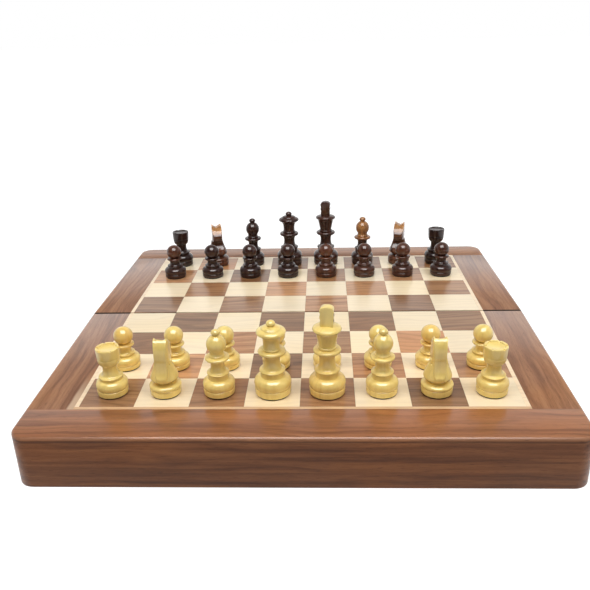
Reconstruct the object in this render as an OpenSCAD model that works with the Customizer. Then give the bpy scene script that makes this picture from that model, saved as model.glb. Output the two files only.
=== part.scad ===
// Folding chess box: two hollow halves hinged along the middle of the playing surface.
// Open, their decks make one board. Folded, the rims meet and the men lie inside.
// The open board stands on its two outer rims and on the hinge knuckles, which are proud
// of the rims, so the halves slope down a little from the seam to the edges.
// Origin: the middle of the open board, on the surface that it stands on. +X runs
// along the ranks, +Y from the front half to the lid half, +Z up.

/* [Board] */
// Side of one playing square
square_side = 25.4; // [23:0.1:40]
// Width of the light stringing round the squares
stringing_w = 2; // [1:0.1:6]
// Width of the border outside the stringing
border_w = 22.4; // [18:0.5:40]
// Height of one half, from its rim to the playing surface
half_h = 26; // [24:0.5:50]
// Plan radius of the box's outer corners
corner_r = 8; // [4:0.5:16]
// Rounding of the outer top edge
edge_r = 1.5; // [0.5:0.25:4]
// Gap between the two halves at the seam when the board lies flat
seam_gap = 0.2; // [0.1:0.05:0.6]

/* [Walls and deck] */
// Thickness of the outer walls
wall_t = 10; // [7.5:0.5:14]
// Thickness of the hinge rails beside the seam
hinge_rail_t = 10; // [9:0.5:14]
// Thickness of the veneered squares and stringing
square_t = 2; // [1:0.25:3]
// Thickness of the steel sheet that holds the magnets
steel_t = 0.5; // [0.3:0.1:1]
// Thickness of the plywood deck panel
panel_t = 3.5; // [2.5:0.25:5]
// How far the deck panel runs into the rebate under the border
panel_lap = 6; // [3:0.5:8]
// Clearance round glued and dropped-in pieces
fit = 0.1; // [0.05:0.05:0.3]
// Width of the glue line between squares
glue_gap = 0.04; // [0.02:0.01:0.1]

/* [Hinges] */
// Distance from the middle of the board to the middle of each hinge
hinge_x = 72; // [40:1:90]
// Length of a hinge along the seam
hinge_len = 32; // [24:1:44]
// Height of a hinge leaf
leaf_h = 12; // [9:0.5:15]
// Thickness of a hinge leaf
leaf_t = 1; // [0.6:0.1:1.2]
// Radius of the hinge knuckles
knuckle_r = 2.5; // [1.8:0.1:3.2]
// Radius of the hinge pins
pin_r = 1.1; // [0.6:0.05:1.3]
// Radial running clearance of the pins in the lid's knuckles
pin_play = 0.05; // [0.02:0.01:0.1]
// Length of a hinge screw
screw_len = 7; // [4:0.5:8]
// Shank radius of a hinge screw
screw_r = 0.9; // [0.6:0.05:1.2]
// Head radius of a hinge screw
screw_head_r = 1.8; // [1.5:0.1:2.2]

/* [Closing magnets] */
// Distance from the middle of the board to each closing magnet
catch_x = 60; // [20:1:95]
// Radius of a closing magnet
catch_r = 3; // [1.5:0.25:3.5]
// Thickness of a closing magnet
catch_t = 2.5; // [1:0.25:6]

/* [Storage insert] */
// Clearance between the insert and the walls
insert_gap = 0.5; // [0.3:0.1:1.5]
// How far the insert lies below the rims
insert_recess = 0.5; // [0.3:0.1:2]
// Foam left over the pockets
pocket_floor = 1.5; // [1:0.25:3]
// Clearance round the men in their pockets
pocket_gap = 0.8; // [0.4:0.1:1.2]
// Gap between the two men that share a pocket
pocket_between = 4; // [1:0.5:8]
// Distance between the middles of neighbouring pockets
pocket_pitch = 28; // [22:0.5:28.5]

/* [Men] */
// Base diameter of the king
king_base = 17.2; // [12:0.1:17.4]
// Height of the king, with its cross
king_h = 44.4; // [36:0.1:52]
// Base diameter of the queen
queen_base = 17.4; // [12:0.1:17.4]
// Height of the queen
queen_h = 37.5; // [30:0.1:44]
// Base diameter of the bishops
bishop_base = 15.1; // [12:0.1:17.4]
// Height of the bishops
bishop_h = 33; // [26:0.1:40]
// Base diameter of the knights
knight_base = 15; // [12:0.1:17.4]
// Height of the knights
knight_h = 29.5; // [24:0.1:36]
// Turn of the light knights towards the middle files
light_knight_turn = 0; // [0:1:40]
// Turn of the dark knights towards the middle files
dark_knight_turn = 16; // [0:1:40]
// Turn of the kings, clockwise from above
king_turn = 8; // [0:1:40]
// Base diameter of the rooks
rook_base = 14.9; // [12:0.1:17.4]
// Height of the rooks
rook_h = 24.2; // [19:0.1:32]
// Base diameter of the pawns
pawn_base = 14.2; // [10:0.1:17.4]
// Height of the pawns
pawn_h = 22; // [16:0.1:26]
// Thickness of the felt under the men
felt_t = 0.6; // [0.3:0.1:1.2]
// Radius of the magnet in a man's base
man_magnet_r = 3; // [1.5:0.1:3.6]
// Thickness of the magnet in a man's base
man_magnet_t = 2.5; // [1:0.1:4]

/* [Hidden] */
$fn = 64;

// Heights in a half that is drawn level. The hinge axis lies half the seam gap below the
// rims, so that the closed rims stand one seam gap apart.
axis_z = knuckle_r;
rim_z = axis_z + seam_gap / 2;
top_z = rim_z + half_h;
square_z = top_z - square_t;
steel_z = square_z - steel_t;
deck_z = steel_z - panel_t;

// Plan sizes, as distances from the middle of the board
grid_half = 4 * square_side;
inlay_half = grid_half + stringing_w;
outer_half = inlay_half + border_w;
inner_half = outer_half - wall_t;
seam_y = seam_gap / 2;
// How far each half turns down from level until its outer rim stands on the table
rest_tilt = asin((axis_z + seam_y) / outer_half);
over = 1; // how far cutting tools run past what they cut
bond = 0.03; // glue under the men's felts and over their magnets

// Hinge details
knuckle_count = 5;
knuckle_pitch = hinge_len / knuckle_count;
knuckle_gap = 0.2;
barrel_gap = 0.3;
pin_seat_play = 0.02;
pin_head_r = pin_r + 0.5;
pin_head_t = 0.5;
screw_play = 0.05;
screw_z = rim_z + leaf_h * 0.6;
screw_count = 3;
screw_pitch = hinge_len * 0.32;

// Pockets of the insert
insert_half = inner_half - insert_gap;
insert_back = hinge_rail_t + insert_gap;
pocket_count = 8;
pocket_w = max(king_base, queen_base, bishop_base, knight_base, rook_base, pawn_base)
    + 2 * pocket_gap;
pocket_len = king_h + pocket_between + pawn_h + 2 * pocket_gap;
pocket_mid_y = -(insert_half + insert_back) / 2;

// Colours, as the photograph shows them
rosewood = [0.55, 0.37, 0.27];
rosewood_dark = [0.60, 0.44, 0.34];
maple = [0.98, 0.90, 0.78];
boxwood = [0.88, 0.75, 0.42];
ebonised = [0.24, 0.13, 0.11];
brass = [0.80, 0.62, 0.28];
steel = [0.62, 0.63, 0.65];
foam = [0.13, 0.13, 0.14];
birch = [0.80, 0.68, 0.50];

// ---------- the board's outer shape ----------

// Section of the outer edge, from the corner's centre line outwards
module edge_section() {
    difference() {
        square([corner_r, half_h]);
        translate([corner_r - edge_r, half_h - edge_r]) difference() {
            square(edge_r + over);
            circle(edge_r);
        }
    }
}

// Both halves as one block, with round plan corners and a round top edge
module envelope() {
    core = outer_half - corner_r;
    translate([0, 0, rim_z]) {
        translate([-core, -core, 0]) cube([2 * core, 2 * core, half_h]);
        for (side = [0:3]) rotate(90 * side) {
            translate([core, core, 0]) rotate([90, 0, 0]) linear_extrude(2 * core)
                edge_section();
            translate([core, core, 0]) rotate_extrude(angle = 90) edge_section();
        }
    }
}

// Turns a half that is drawn level down about the hinge axis; side is 1 for the base half
module let_down(side) {
    translate([0, 0, axis_z]) rotate([side * rest_tilt, 0, 0]) translate([0, 0, -axis_z])
        children();
}

module base_side() {
    let_down(1) children();
}

// The lid half is the base half seen in a mirror at the seam
module lid_side() {
    let_down(-1) mirror([0, 1, 0]) children();
}

// A block given by its lowest and highest corners
module block(low, high) {
    translate(low) cube(high - low);
}

// ---------- one half, drawn level on the base's side of the seam ----------

// Room for the deck panel in the rebate under the border
module panel_room() {
    reach = inlay_half + panel_lap + fit;
    block([-reach, -reach, deck_z - over], [reach, over, steel_z]);
}

// Outer rail: a wall with the border strip on it, across the whole width
module outer_rail() {
    color(rosewood) difference() {
        intersection() {
            envelope();
            union() {
                block([-outer_half, -outer_half, rim_z], [outer_half, -inner_half, top_z]);
                block([-outer_half, -inner_half, deck_z], [outer_half, -inlay_half, top_z]);
            }
        }
        panel_room();
        catch_places(over) cylinder(r = catch_r + fit / 2, h = catch_t + fit / 2 + over);
    }
}

// Side rail: its border strip butts against the outer rail's, its wall runs under it
module side_rail(side) {
    wall = inner_half * side;
    outside = outer_half * side;
    strip = inlay_half * side;
    color(rosewood) difference() {
        intersection() {
            envelope();
            union() {
                block([min(wall, outside), -inner_half, rim_z],
                      [max(wall, outside), -seam_y, deck_z]);
                block([min(strip, outside), -inlay_half, deck_z],
                      [max(strip, outside), -seam_y, top_z]);
            }
        }
        panel_room();
    }
}

// Hinge rail along the seam, with mortises for the leaves and a groove for the barrels
module hinge_rail() {
    color(rosewood) difference() {
        block([-inner_half, -hinge_rail_t, rim_z], [inner_half, -seam_y, deck_z]);
        for (side = [-1, 1]) translate([side * hinge_x, 0, 0]) {
            block([-hinge_len / 2 - fit, -seam_y - leaf_t, rim_z - over],
                  [hinge_len / 2 + fit, over, rim_z + leaf_h + fit]);
            groove = hinge_len + 2 * (pin_head_t + barrel_gap);
            translate([-groove / 2, 0, axis_z]) rotate([0, 90, 0])
                cylinder(r = knuckle_r + barrel_gap, h = groove);
            screw_places() cylinder(r = screw_r + screw_play, h = screw_len + fit);
        }
    }
}

// Where a hinge's screws go, each running back into the rail
module screw_places() {
    for (i = [0:screw_count - 1])
        translate([(i - (screw_count - 1) / 2) * screw_pitch, -seam_y, screw_z])
            rotate([90, 0, 0]) children();
}

// Where the closing magnets go, in the rim of the outer rail, or lower by drop
module catch_places(drop = 0) {
    for (side = [-1, 1])
        translate([side * catch_x, -(outer_half + inner_half) / 2, rim_z - drop])
            children();
}

module deck_panel() {
    reach = inlay_half + panel_lap;
    color(birch) block([-reach, -reach, deck_z], [reach, -seam_y, steel_z]);
}

module steel_sheet() {
    color(steel) block([-inlay_half, -inlay_half, steel_z], [inlay_half, -seam_y, square_z]);
}

// Every second square of a half's four ranks; odd is 0 or 1 for the rank at the front
module squares(first_rank, odd) {
    for (rank = [first_rank:first_rank + 3], file = [0:7]) if ((rank + file + odd) % 2 == 0) {
        low_y = (rank - 4) * square_side;
        high_y = low_y + square_side;
        low_x = (file - 4) * square_side;
        block([low_x + glue_gap / 2,
               low_y == 0 ? seam_y : low_y + glue_gap / 2, square_z],
              [low_x + square_side - glue_gap / 2,
               high_y == 0 ? -seam_y : high_y - glue_gap / 2, top_z]);
    }
}

// Light strips on the three outer sides of a half's squares
module stringing() {
    color(maple) {
        block([-inlay_half, -inlay_half, square_z],
              [inlay_half, -grid_half - glue_gap / 2, top_z]);
        for (side = [-1, 1]) {
            outside = side * inlay_half;
            inside = side * (grid_half + glue_gap / 2);
            block([min(outside, inside), -grid_half + glue_gap / 2, square_z],
                  [max(outside, inside), -seam_y, top_z]);
        }
    }
}

// Foam block with a pocket for two men in each of its columns, open at the rims
module foam_insert() {
    low_z = rim_z + insert_recess;
    color(foam) difference() {
        block([-insert_half, -insert_half, low_z], [insert_half, -insert_back, deck_z]);
        for (i = [0:pocket_count - 1])
            translate([(i - (pocket_count - 1) / 2) * pocket_pitch, pocket_mid_y, 0])
                block([-pocket_w / 2, -pocket_len / 2, low_z - over],
                      [pocket_w / 2, pocket_len / 2, deck_z - pocket_floor]);
    }
}

module closing_magnets() {
    color(steel) catch_places() cylinder(r = catch_r, h = catch_t);
}

// ---------- hinges ----------

// Knuckle i of a hinge, grown by more along and around it
module knuckle(i, radius, more) {
    translate([(i - knuckle_count / 2) * knuckle_pitch + knuckle_gap / 2 - more, 0, axis_z])
        rotate([0, 90, 0])
            cylinder(r = radius, h = knuckle_pitch - knuckle_gap + 2 * more);
}

// A leaf with every second knuckle, the first at number first; drawn on the base's side
module hinge_leaf(first, bore_play) {
    difference() {
        union() {
            difference() {
                block([-hinge_len / 2, -seam_y - leaf_t, axis_z],
                      [hinge_len / 2, -seam_y, rim_z + leaf_h]);
                for (i = [1 - first:2:knuckle_count - 1])
                    knuckle(i, knuckle_r + barrel_gap, knuckle_gap);
            }
            for (i = [first:2:knuckle_count - 1]) knuckle(i, knuckle_r, 0);
        }
        translate([-hinge_len / 2 - over, 0, axis_z]) rotate([0, 90, 0])
            cylinder(r = pin_r + bore_play, h = hinge_len + 2 * over);
        screw_places() {
            translate([0, 0, -over]) cylinder(r = screw_r + screw_play, h = leaf_t + 2 * over);
            screw_sink(screw_play);
        }
    }
}

// Countersunk cone of a screw's head, flush with the leaf
module screw_sink(play) {
    rotate_extrude() polygon([
        [0, 0], [screw_head_r + play, 0], [screw_r + play, leaf_t * 0.8], [0, leaf_t * 0.8]
    ]);
}

module hinge_screw() {
    tip = 1.5;
    rotate_extrude() polygon([
        [0, 0], [screw_head_r, 0], [screw_r, leaf_t * 0.8], [screw_r, screw_len - tip],
        [screw_r * 0.2, screw_len], [0, screw_len]
    ]);
}

module both_hinges() {
    for (side = [-1, 1]) translate([side * hinge_x, 0, 0]) children();
}

module hinge_pin() {
    for (end = [-1, 1]) translate([end * (hinge_len / 2 + pin_head_t / 2), 0, axis_z])
        rotate([0, 90, 0]) cylinder(r = pin_head_r, h = pin_head_t, center = true);
    translate([0, 0, axis_z]) rotate([0, 90, 0])
        cylinder(r = pin_r, h = hinge_len + pin_head_t, center = true);
}

// ---------- outlines of the men, each from the axis outwards and up ----------

// Part of an ellipse round [cx, cz]
function bow(cx, cz, rx, rz, from, to, steps = 6) =
    [for (i = [0:steps]) let (a = from + (to - from) * i / steps)
        [cx + rx * cos(a), cz + rz * sin(a)]];

// Concave waist from [r1, z1] in to radius r2 at z2 and out to [r3, z3]
function waist(r1, z1, r2, z2, r3, z3) = concat(
    bow(r1, z2, r1 - r2, z2 - z1, 270, 180), bow(r3, z2, r3 - r2, z3 - z2, 180, 90));

// Round-edged disc of radius r from z1 to z2, as a turned collar or ring
function collar(r, z1, z2) =
    bow(r - (z2 - z1) / 2, (z1 + z2) / 2, (z2 - z1) / 2, (z2 - z1) / 2, -90, 90, 6);

// Foot disc, groove and fat bulge under every man. The groove, the bulge's top and the neck
// on it are at these shares of the base radius.
function foot(r, groove_at = 0.46, top_at = 1.08, neck = 0.64) =
    let (z = felt_t, lip = 0.05 * r, groove = 0.085 * r, low = groove_at * r,
         top = top_at * r, belly = low + 0.42 * (top - low))
    concat(
        [[0, z], [r - 2 * lip, z], [r - 0.6 * lip, z + lip], [r - 0.4 * lip, low - lip],
         [r - groove, low]],
        bow(r - groove, belly, groove, belly - low, -90, 0, 5),
        bow(neck * r, belly, (1 - neck) * r, top - belly, 0, 90, 7));

// Ring of radius wide on the neck that stands on the bulge
function ring(r, wide, z1, z2, neck = 0.64) =
    concat([[neck * r - 0.1, z1]], collar(wide, z1, z2));

function king_line(r, h) = concat(
    foot(r), ring(r, 0.7 * r, 0.268 * h, 0.295 * h),
    waist(0.58 * r, 0.298 * h, 0.42 * r, 0.41 * h, 0.6 * r, 0.482 * h),
    collar(0.75 * r, 0.485 * h, 0.527 * h), collar(0.51 * r, 0.53 * h, 0.555 * h),
    [[0.46 * r, 0.572 * h], [0.49 * r, 0.6 * h], [0.55 * r, 0.66 * h], [0.6 * r, 0.7 * h],
     [0.66 * r, 0.722 * h], [0.77 * r, 0.739 * h], [0.78 * r, 0.746 * h]],
    bow(0, 0.755 * h, 0.76 * r, 0.03 * h, 0, 90));

function queen_line(r, h) = concat(
    foot(r), ring(r, 0.7 * r, 0.316 * h, 0.346 * h),
    waist(0.58 * r, 0.35 * h, 0.425 * r, 0.47 * h, 0.6 * r, 0.556 * h),
    collar(0.74 * r, 0.561 * h, 0.608 * h), collar(0.51 * r, 0.611 * h, 0.638 * h),
    waist(0.46 * r, 0.642 * h, 0.44 * r, 0.7 * h, 0.54 * r, 0.79 * h),
    [[0.6 * r, 0.812 * h], [0.77 * r, 0.836 * h], [0.79 * r, 0.847 * h]],
    bow(0, 0.855 * h, 0.775 * r, 0.05 * h, 0, 45),
    bow(0, 0.894 * h, 0.53 * r, 0.036 * h, 0, 60),
    bow(0, 0.957 * h, 0.245 * r, 0.043 * h, -50, 90, 8));

function bishop_line(r, h) = concat(
    foot(r), ring(r, 0.7 * r, 0.324 * h, 0.352 * h),
    waist(0.58 * r, 0.356 * h, 0.42 * r, 0.46 * h, 0.58 * r, 0.54 * h),
    collar(0.75 * r, 0.543 * h, 0.59 * h), collar(0.5 * r, 0.593 * h, 0.613 * h),
    bow(0.49 * r, 0.65 * h, 0.055 * r, 0.034 * h, -90, -180, 4),
    bow(0, 0.775 * h, 0.605 * r, 0.148 * h, -42, 0),
    bow(0, 0.775 * h, 0.605 * r, 0.145 * h, 12, 68),
    bow(0, 0.953 * h, 0.285 * r, 0.047 * h, -50, 90, 7));

function rook_line(r, h) = concat(
    foot(r, 0.46, 1.06, 0.7), ring(r, 0.76 * r, 0.378 * h, 0.404 * h, 0.7),
    waist(0.62 * r, 0.411 * h, 0.445 * r, 0.56 * h, 0.48 * r, 0.635 * h),
    bow(0.46 * r, 0.785 * h, 0.24 * r, 0.15 * h, -75, 0, 5),
    [[0.68 * r, 0.795 * h], [0.715 * r, 0.807 * h], [0.735 * r, 0.975 * h], [0.71 * r, h],
     [0.56 * r, h], [0.53 * r, 0.975 * h], [0, 0.975 * h]]);

function pawn_line(r, h) = concat(
    foot(r, 0.4, 0.98), ring(r, 0.69 * r, 0.355 * h, 0.388 * h),
    waist(0.57 * r, 0.392 * h, 0.45 * r, 0.47 * h, 0.53 * r, 0.548 * h),
    collar(0.69 * r, 0.553 * h, 0.607 * h),
    bow(0, 0.79 * h, 0.675 * r, 0.21 * h, -62, 90, 12));

// Base of the knight, which ends under the hollow
function knight_base_line(r, h) = concat(foot(r, 0.49, 0.82), [[0, 0.82 * r]]);

// Round skirt of the knight, with the hollow under it, in shares of radius and height
knight_skirt = [
    [0, 0.15], [0.5, 0.15], [0.57, 0.222], [0.87, 0.297], [0.875, 0.32], [0.83, 0.36],
    [0.70, 0.44], [0.585, 0.525], [0.52, 0.60], [0, 0.60]
];

// Knight from its side, and from its front and from above as half an outline
knight_side = [
    [-1.1, 0.1], [-1.1, 0.33], [-0.9, 0.355], [-0.8, 0.4], [-0.73, 0.46], [-0.69, 0.53],
    [-0.675, 0.61], [-0.685, 0.69], [-0.68, 0.77], [-0.63, 0.845], [-0.54, 0.905],
    [-0.42, 0.95], [-0.3, 0.975], [-0.18, 0.98], [-0.12, 1.0], [-0.03, 0.965],
    [0.12, 0.93], [0.36, 0.89], [0.58, 0.84], [0.76, 0.78], [0.86, 0.735], [0.88, 0.69],
    [0.83, 0.645], [0.72, 0.61], [0.55, 0.6], [0.4, 0.608], [0.3, 0.595], [0.24, 0.555],
    [0.28, 0.5], [0.42, 0.435], [0.62, 0.385], [0.9, 0.345], [1.1, 0.34], [1.1, 0.1]
];
knight_front_half = [
    [0.7, 0.3], [0.64, 0.42], [0.56, 0.51], [0.5, 0.59], [0.46, 0.67], [0.445, 0.75],
    [0.44, 0.84], [0.455, 0.91], [0.44, 0.955], [0.38, 1.0], [0.27, 0.955], [0, 0.93]
];
knight_plan_half = [
    [0, -0.9], [0.25, -0.9], [0.33, -0.84], [0.375, -0.72], [0.4, -0.5], [0.44, -0.2],
    [0.47, 0.15], [0.45, 0.5], [0.4, 0.76], [0.3, 0.9], [0, 0.9]
];

// ---------- solids of the men, standing at the origin and facing +Y ----------

module turned(line) {
    rotate_extrude() polygon(line);
}

// A closed outline from its right half, mirrored at the upright axis
function both_halves(half) = concat(
    half, [for (i = [len(half) - 1:-1:0]) if (half[i][0] != 0) [-half[i][0], half[i][1]]]);

// Cross on the king's crown
module king_cross(r, h) {
    half = [[0.33 * r, 0.775 * h], [0.36 * r, 0.82 * h], [0.33 * r, 0.85 * h],
            [0.37 * r, 0.885 * h], [0.34 * r, 0.92 * h], [0.375 * r, 0.945 * h]];
    dome = bow(0, 0.948 * h, 0.38 * r, 0.052 * h, 10, 90, 5);
    rotate([90, 0, 0]) linear_extrude(0.48 * r, center = true)
        polygon(both_halves(concat(half, dome)));
}

module king_form(r, h) {
    turned(king_line(r, h));
    king_cross(r, h);
}

// Shallow notches across the rook's rim
module rook_form(r, h) {
    difference() {
        turned(rook_line(r, h));
        for (turn = [0:60:120]) rotate(turn)
            translate([0, 0, h]) cube([2 * r, 0.1 * r, 0.036 * h], center = true);
    }
}

// The knight is sawn to its side view, with a round skirt and a slim head. The crest of its
// mane fills the notch behind its ears.
module knight_form(r, h) {
    sized = [[r, 0], [0, h]];
    crest_w = 0.6 * r;
    crest_z = 0.97 * h;
    turned(knight_base_line(r, h));
    intersection() {
        rotate([90, 0, 90]) linear_extrude(2 * r, center = true) polygon(knight_side * sized);
        union() {
            turned(knight_skirt * sized);
            intersection() {
                rotate([90, 0, 0]) linear_extrude(2 * r, center = true)
                    polygon(both_halves(knight_front_half) * sized);
                linear_extrude(h + over) polygon(both_halves(knight_plan_half) * r);
            }
            translate([-crest_w / 2, -0.7 * r, h / 2]) cube([crest_w, 0.5 * r, crest_z - h / 2]);
        }
    }
}

// A man with its magnet and felt, on the square of a file and rank counted from 0
module man(kind, file, rank, wood) {
    base = kind == "king" ? king_base : kind == "queen" ? queen_base
        : kind == "bishop" ? bishop_base : kind == "knight" ? knight_base
        : kind == "rook" ? rook_base : pawn_base;
    r = base / 2;
    half_way = rank > 3 ? -1 : 1;
    knight_turn = half_way > 0 ? light_knight_turn : dark_knight_turn;
    towards_middle = (file < 4 ? -half_way : half_way) * knight_turn;
    own_turn = kind == "knight" ? towards_middle : kind == "king" ? -king_turn : 0;
    let_down(half_way)
        translate([(file - 3.5) * square_side, (rank - 3.5) * square_side, top_z])
        rotate((half_way > 0 ? 0 : 180) + own_turn) {
            color(wood) difference() {
                if (kind == "king") king_form(r, king_h);
                else if (kind == "queen") turned(queen_line(r, queen_h));
                else if (kind == "bishop") turned(bishop_line(r, bishop_h));
                else if (kind == "knight") knight_form(r, knight_h);
                else if (kind == "rook") rook_form(r, rook_h);
                else turned(pawn_line(r, pawn_h));
                translate([0, 0, felt_t - over])
                    cylinder(r = man_magnet_r + fit / 2, h = man_magnet_t + bond + over);
            }
            color(steel) translate([0, 0, felt_t]) cylinder(r = man_magnet_r, h = man_magnet_t);
            color(foam) cylinder(r = 0.9 * r, h = felt_t - bond);
        }
}

// ---------- sub-parts ----------

module front_rail() { base_side() outer_rail(); }
module base_left_rail() { base_side() side_rail(-1); }
module base_right_rail() { base_side() side_rail(1); }
module base_hinge_rail() { base_side() hinge_rail(); }
module base_deck_panel() { base_side() deck_panel(); }
module base_steel_sheet() { base_side() steel_sheet(); }
module base_dark_squares() { color(rosewood_dark) let_down(1) squares(0, 0); }
module base_light_squares() { color(maple) let_down(1) squares(0, 1); }
module base_stringing() { base_side() stringing(); }
module base_foam_insert() { base_side() foam_insert(); }
module base_closing_magnets() { base_side() closing_magnets(); }
module rear_rail() { lid_side() outer_rail(); }
module lid_left_rail() { lid_side() side_rail(-1); }
module lid_right_rail() { lid_side() side_rail(1); }
module lid_hinge_rail() { lid_side() hinge_rail(); }
module lid_deck_panel() { lid_side() deck_panel(); }
module lid_steel_sheet() { lid_side() steel_sheet(); }
module lid_dark_squares() { color(rosewood_dark) let_down(-1) squares(4, 0); }
module lid_light_squares() { color(maple) let_down(-1) squares(4, 1); }
module lid_stringing() { lid_side() stringing(); }
module lid_foam_insert() { lid_side() foam_insert(); }
module lid_closing_magnets() { lid_side() closing_magnets(); }
module base_hinge_leaves() {
    color(brass) base_side() both_hinges() hinge_leaf(0, pin_seat_play);
}
module lid_hinge_leaves() {
    color(brass) lid_side() both_hinges() hinge_leaf(1, pin_play);
}
module hinge_pins() { color(steel) both_hinges() hinge_pin(); }
module base_hinge_screws() {
    color(brass) base_side() both_hinges() screw_places() hinge_screw();
}
module lid_hinge_screws() {
    color(brass) lid_side() both_hinges() screw_places() hinge_screw();
}

module white_rook_a() { man("rook", 0, 0, boxwood); }
module white_knight_b() { man("knight", 1, 0, boxwood); }
module white_bishop_c() { man("bishop", 2, 0, boxwood); }
module white_queen() { man("queen", 3, 0, boxwood); }
module white_king() { man("king", 4, 0, boxwood); }
module white_bishop_f() { man("bishop", 5, 0, boxwood); }
module white_knight_g() { man("knight", 6, 0, boxwood); }
module white_rook_h() { man("rook", 7, 0, boxwood); }
module white_pawn_a() { man("pawn", 0, 1, boxwood); }
module white_pawn_b() { man("pawn", 1, 1, boxwood); }
module white_pawn_c() { man("pawn", 2, 1, boxwood); }
module white_pawn_d() { man("pawn", 3, 1, boxwood); }
module white_pawn_e() { man("pawn", 4, 1, boxwood); }
module white_pawn_f() { man("pawn", 5, 1, boxwood); }
module white_pawn_g() { man("pawn", 6, 1, boxwood); }
module white_pawn_h() { man("pawn", 7, 1, boxwood); }
module black_rook_a() { man("rook", 0, 7, ebonised); }
module black_knight_b() { man("knight", 1, 7, ebonised); }
module black_bishop_c() { man("bishop", 2, 7, ebonised); }
module black_queen() { man("queen", 3, 7, ebonised); }
module black_king() { man("king", 4, 7, ebonised); }
module black_bishop_f() { man("bishop", 5, 7, ebonised); }
module black_knight_g() { man("knight", 6, 7, ebonised); }
module black_rook_h() { man("rook", 7, 7, ebonised); }
module black_pawn_a() { man("pawn", 0, 6, ebonised); }
module black_pawn_b() { man("pawn", 1, 6, ebonised); }
module black_pawn_c() { man("pawn", 2, 6, ebonised); }
module black_pawn_d() { man("pawn", 3, 6, ebonised); }
module black_pawn_e() { man("pawn", 4, 6, ebonised); }
module black_pawn_f() { man("pawn", 5, 6, ebonised); }
module black_pawn_g() { man("pawn", 6, 6, ebonised); }
module black_pawn_h() { man("pawn", 7, 6, ebonised); }

front_rail();
base_left_rail();
base_right_rail();
base_hinge_rail();
base_deck_panel();
base_steel_sheet();
base_dark_squares();
base_light_squares();
base_stringing();
base_foam_insert();
base_closing_magnets();
rear_rail();
lid_left_rail();
lid_right_rail();
lid_hinge_rail();
lid_deck_panel();
lid_steel_sheet();
lid_dark_squares();
lid_light_squares();
lid_stringing();
lid_foam_insert();
lid_closing_magnets();
base_hinge_leaves();
lid_hinge_leaves();
hinge_pins();
base_hinge_screws();
lid_hinge_screws();
white_rook_a();
white_knight_b();
white_bishop_c();
white_queen();
white_king();
white_bishop_f();
white_knight_g();
white_rook_h();
white_pawn_a();
white_pawn_b();
white_pawn_c();
white_pawn_d();
white_pawn_e();
white_pawn_f();
white_pawn_g();
white_pawn_h();
black_rook_a();
black_knight_b();
black_bishop_c();
black_queen();
black_king();
black_bishop_f();
black_knight_g();
black_rook_h();
black_pawn_a();
black_pawn_b();
black_pawn_c();
black_pawn_d();
black_pawn_e();
black_pawn_f();
black_pawn_g();
black_pawn_h();
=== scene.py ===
"""Finish and studio for a folding chess box with its men set out.

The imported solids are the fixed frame. This file gives the box its lacquered rosewood rails
with eased arrises, its veneered squares, its hinges and flocked trays, turns and carves the
thirty-two men, and sets up the camera and the light. Lengths are metres. In the frame +X runs
along the ranks, +Y across the seam to the lid half and +Z up.
"""
import math

import bpy
from mathutils import Matrix, Vector


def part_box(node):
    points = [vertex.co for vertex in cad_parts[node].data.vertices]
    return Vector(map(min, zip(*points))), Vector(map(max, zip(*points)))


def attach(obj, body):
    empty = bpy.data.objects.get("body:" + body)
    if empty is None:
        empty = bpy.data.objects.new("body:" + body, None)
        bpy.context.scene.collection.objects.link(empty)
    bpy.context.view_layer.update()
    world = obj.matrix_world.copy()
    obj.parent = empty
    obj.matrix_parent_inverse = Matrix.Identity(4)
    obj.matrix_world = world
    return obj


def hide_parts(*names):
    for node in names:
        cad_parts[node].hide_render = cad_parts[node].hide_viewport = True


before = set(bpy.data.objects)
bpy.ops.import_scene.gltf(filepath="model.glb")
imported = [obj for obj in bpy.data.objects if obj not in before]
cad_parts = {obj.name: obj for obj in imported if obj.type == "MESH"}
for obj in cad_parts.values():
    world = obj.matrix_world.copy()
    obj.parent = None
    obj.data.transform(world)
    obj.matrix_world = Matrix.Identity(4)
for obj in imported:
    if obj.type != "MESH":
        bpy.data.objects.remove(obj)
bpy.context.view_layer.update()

bl_info = {
    "name": "Folding chess box",
    "version": (1, 0, 0),
    "blender": (4, 5, 0),
    "location": "View3D > Sidebar > Chess box",
    "description": "Builds the finish, the men and the studio of a folding chess box",
    "category": "Object",
}

HALVES = {"base": 1, "lid": -1}
FILES = "abcdefgh"
OFFICERS = ("rook", "knight", "bishop", "queen", "king", "bishop", "knight", "rook")

# How pale a dark man's wood is at its foot and at its head, 0 for heartwood and 1 for sapwood,
# and how amber a light man's wood is
TONES = {
    "black_rook_a": (0.04, 0.06), "black_knight_b": (0.50, 0.97), "black_bishop_c": (0.08, 0.20),
    "black_queen": (0.18, 0.24), "black_king": (0.26, 0.28), "black_bishop_f": (0.22, 0.90),
    "black_knight_g": (0.55, 0.97), "black_rook_h": (0.04, 0.08), "black_pawn_a": (0.20, 0.48),
    "black_pawn_b": (0.12, 0.16), "black_pawn_c": (0.10, 0.20), "black_pawn_d": (0.10, 0.24),
    "black_pawn_e": (0.40, 0.50), "black_pawn_f": (0.36, 0.38), "black_pawn_g": (0.30, 0.46),
    "black_pawn_h": (0.18, 0.34), "white_queen": (0.45, 0.40), "white_king": (0.60, 0.55),
    "white_pawn_a": (0.55, 0.75), "white_pawn_g": (0.60, 0.80), "white_rook_a": (0.35, 0.40),
}
PLAIN_TONE = (0.5, 0.5)
# From what share of its height a man turns to its head's tone, and within what share
TONE_RISE = (0.46, 0.16)
KNIGHT_TONE_RISE = (0.75, 0.07)


# ---------- sizes, colours and light that a user may change ----------

def length(name, description, default):
    """A size in metres for the panel."""
    return bpy.props.FloatProperty(name=name, description=description, default=default,
                                   min=0.0, precision=4, unit="LENGTH", subtype="DISTANCE")


def base_width(man, default):
    return length(man + ", base", f"Base diameter of each {man.lower()}", default)


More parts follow.
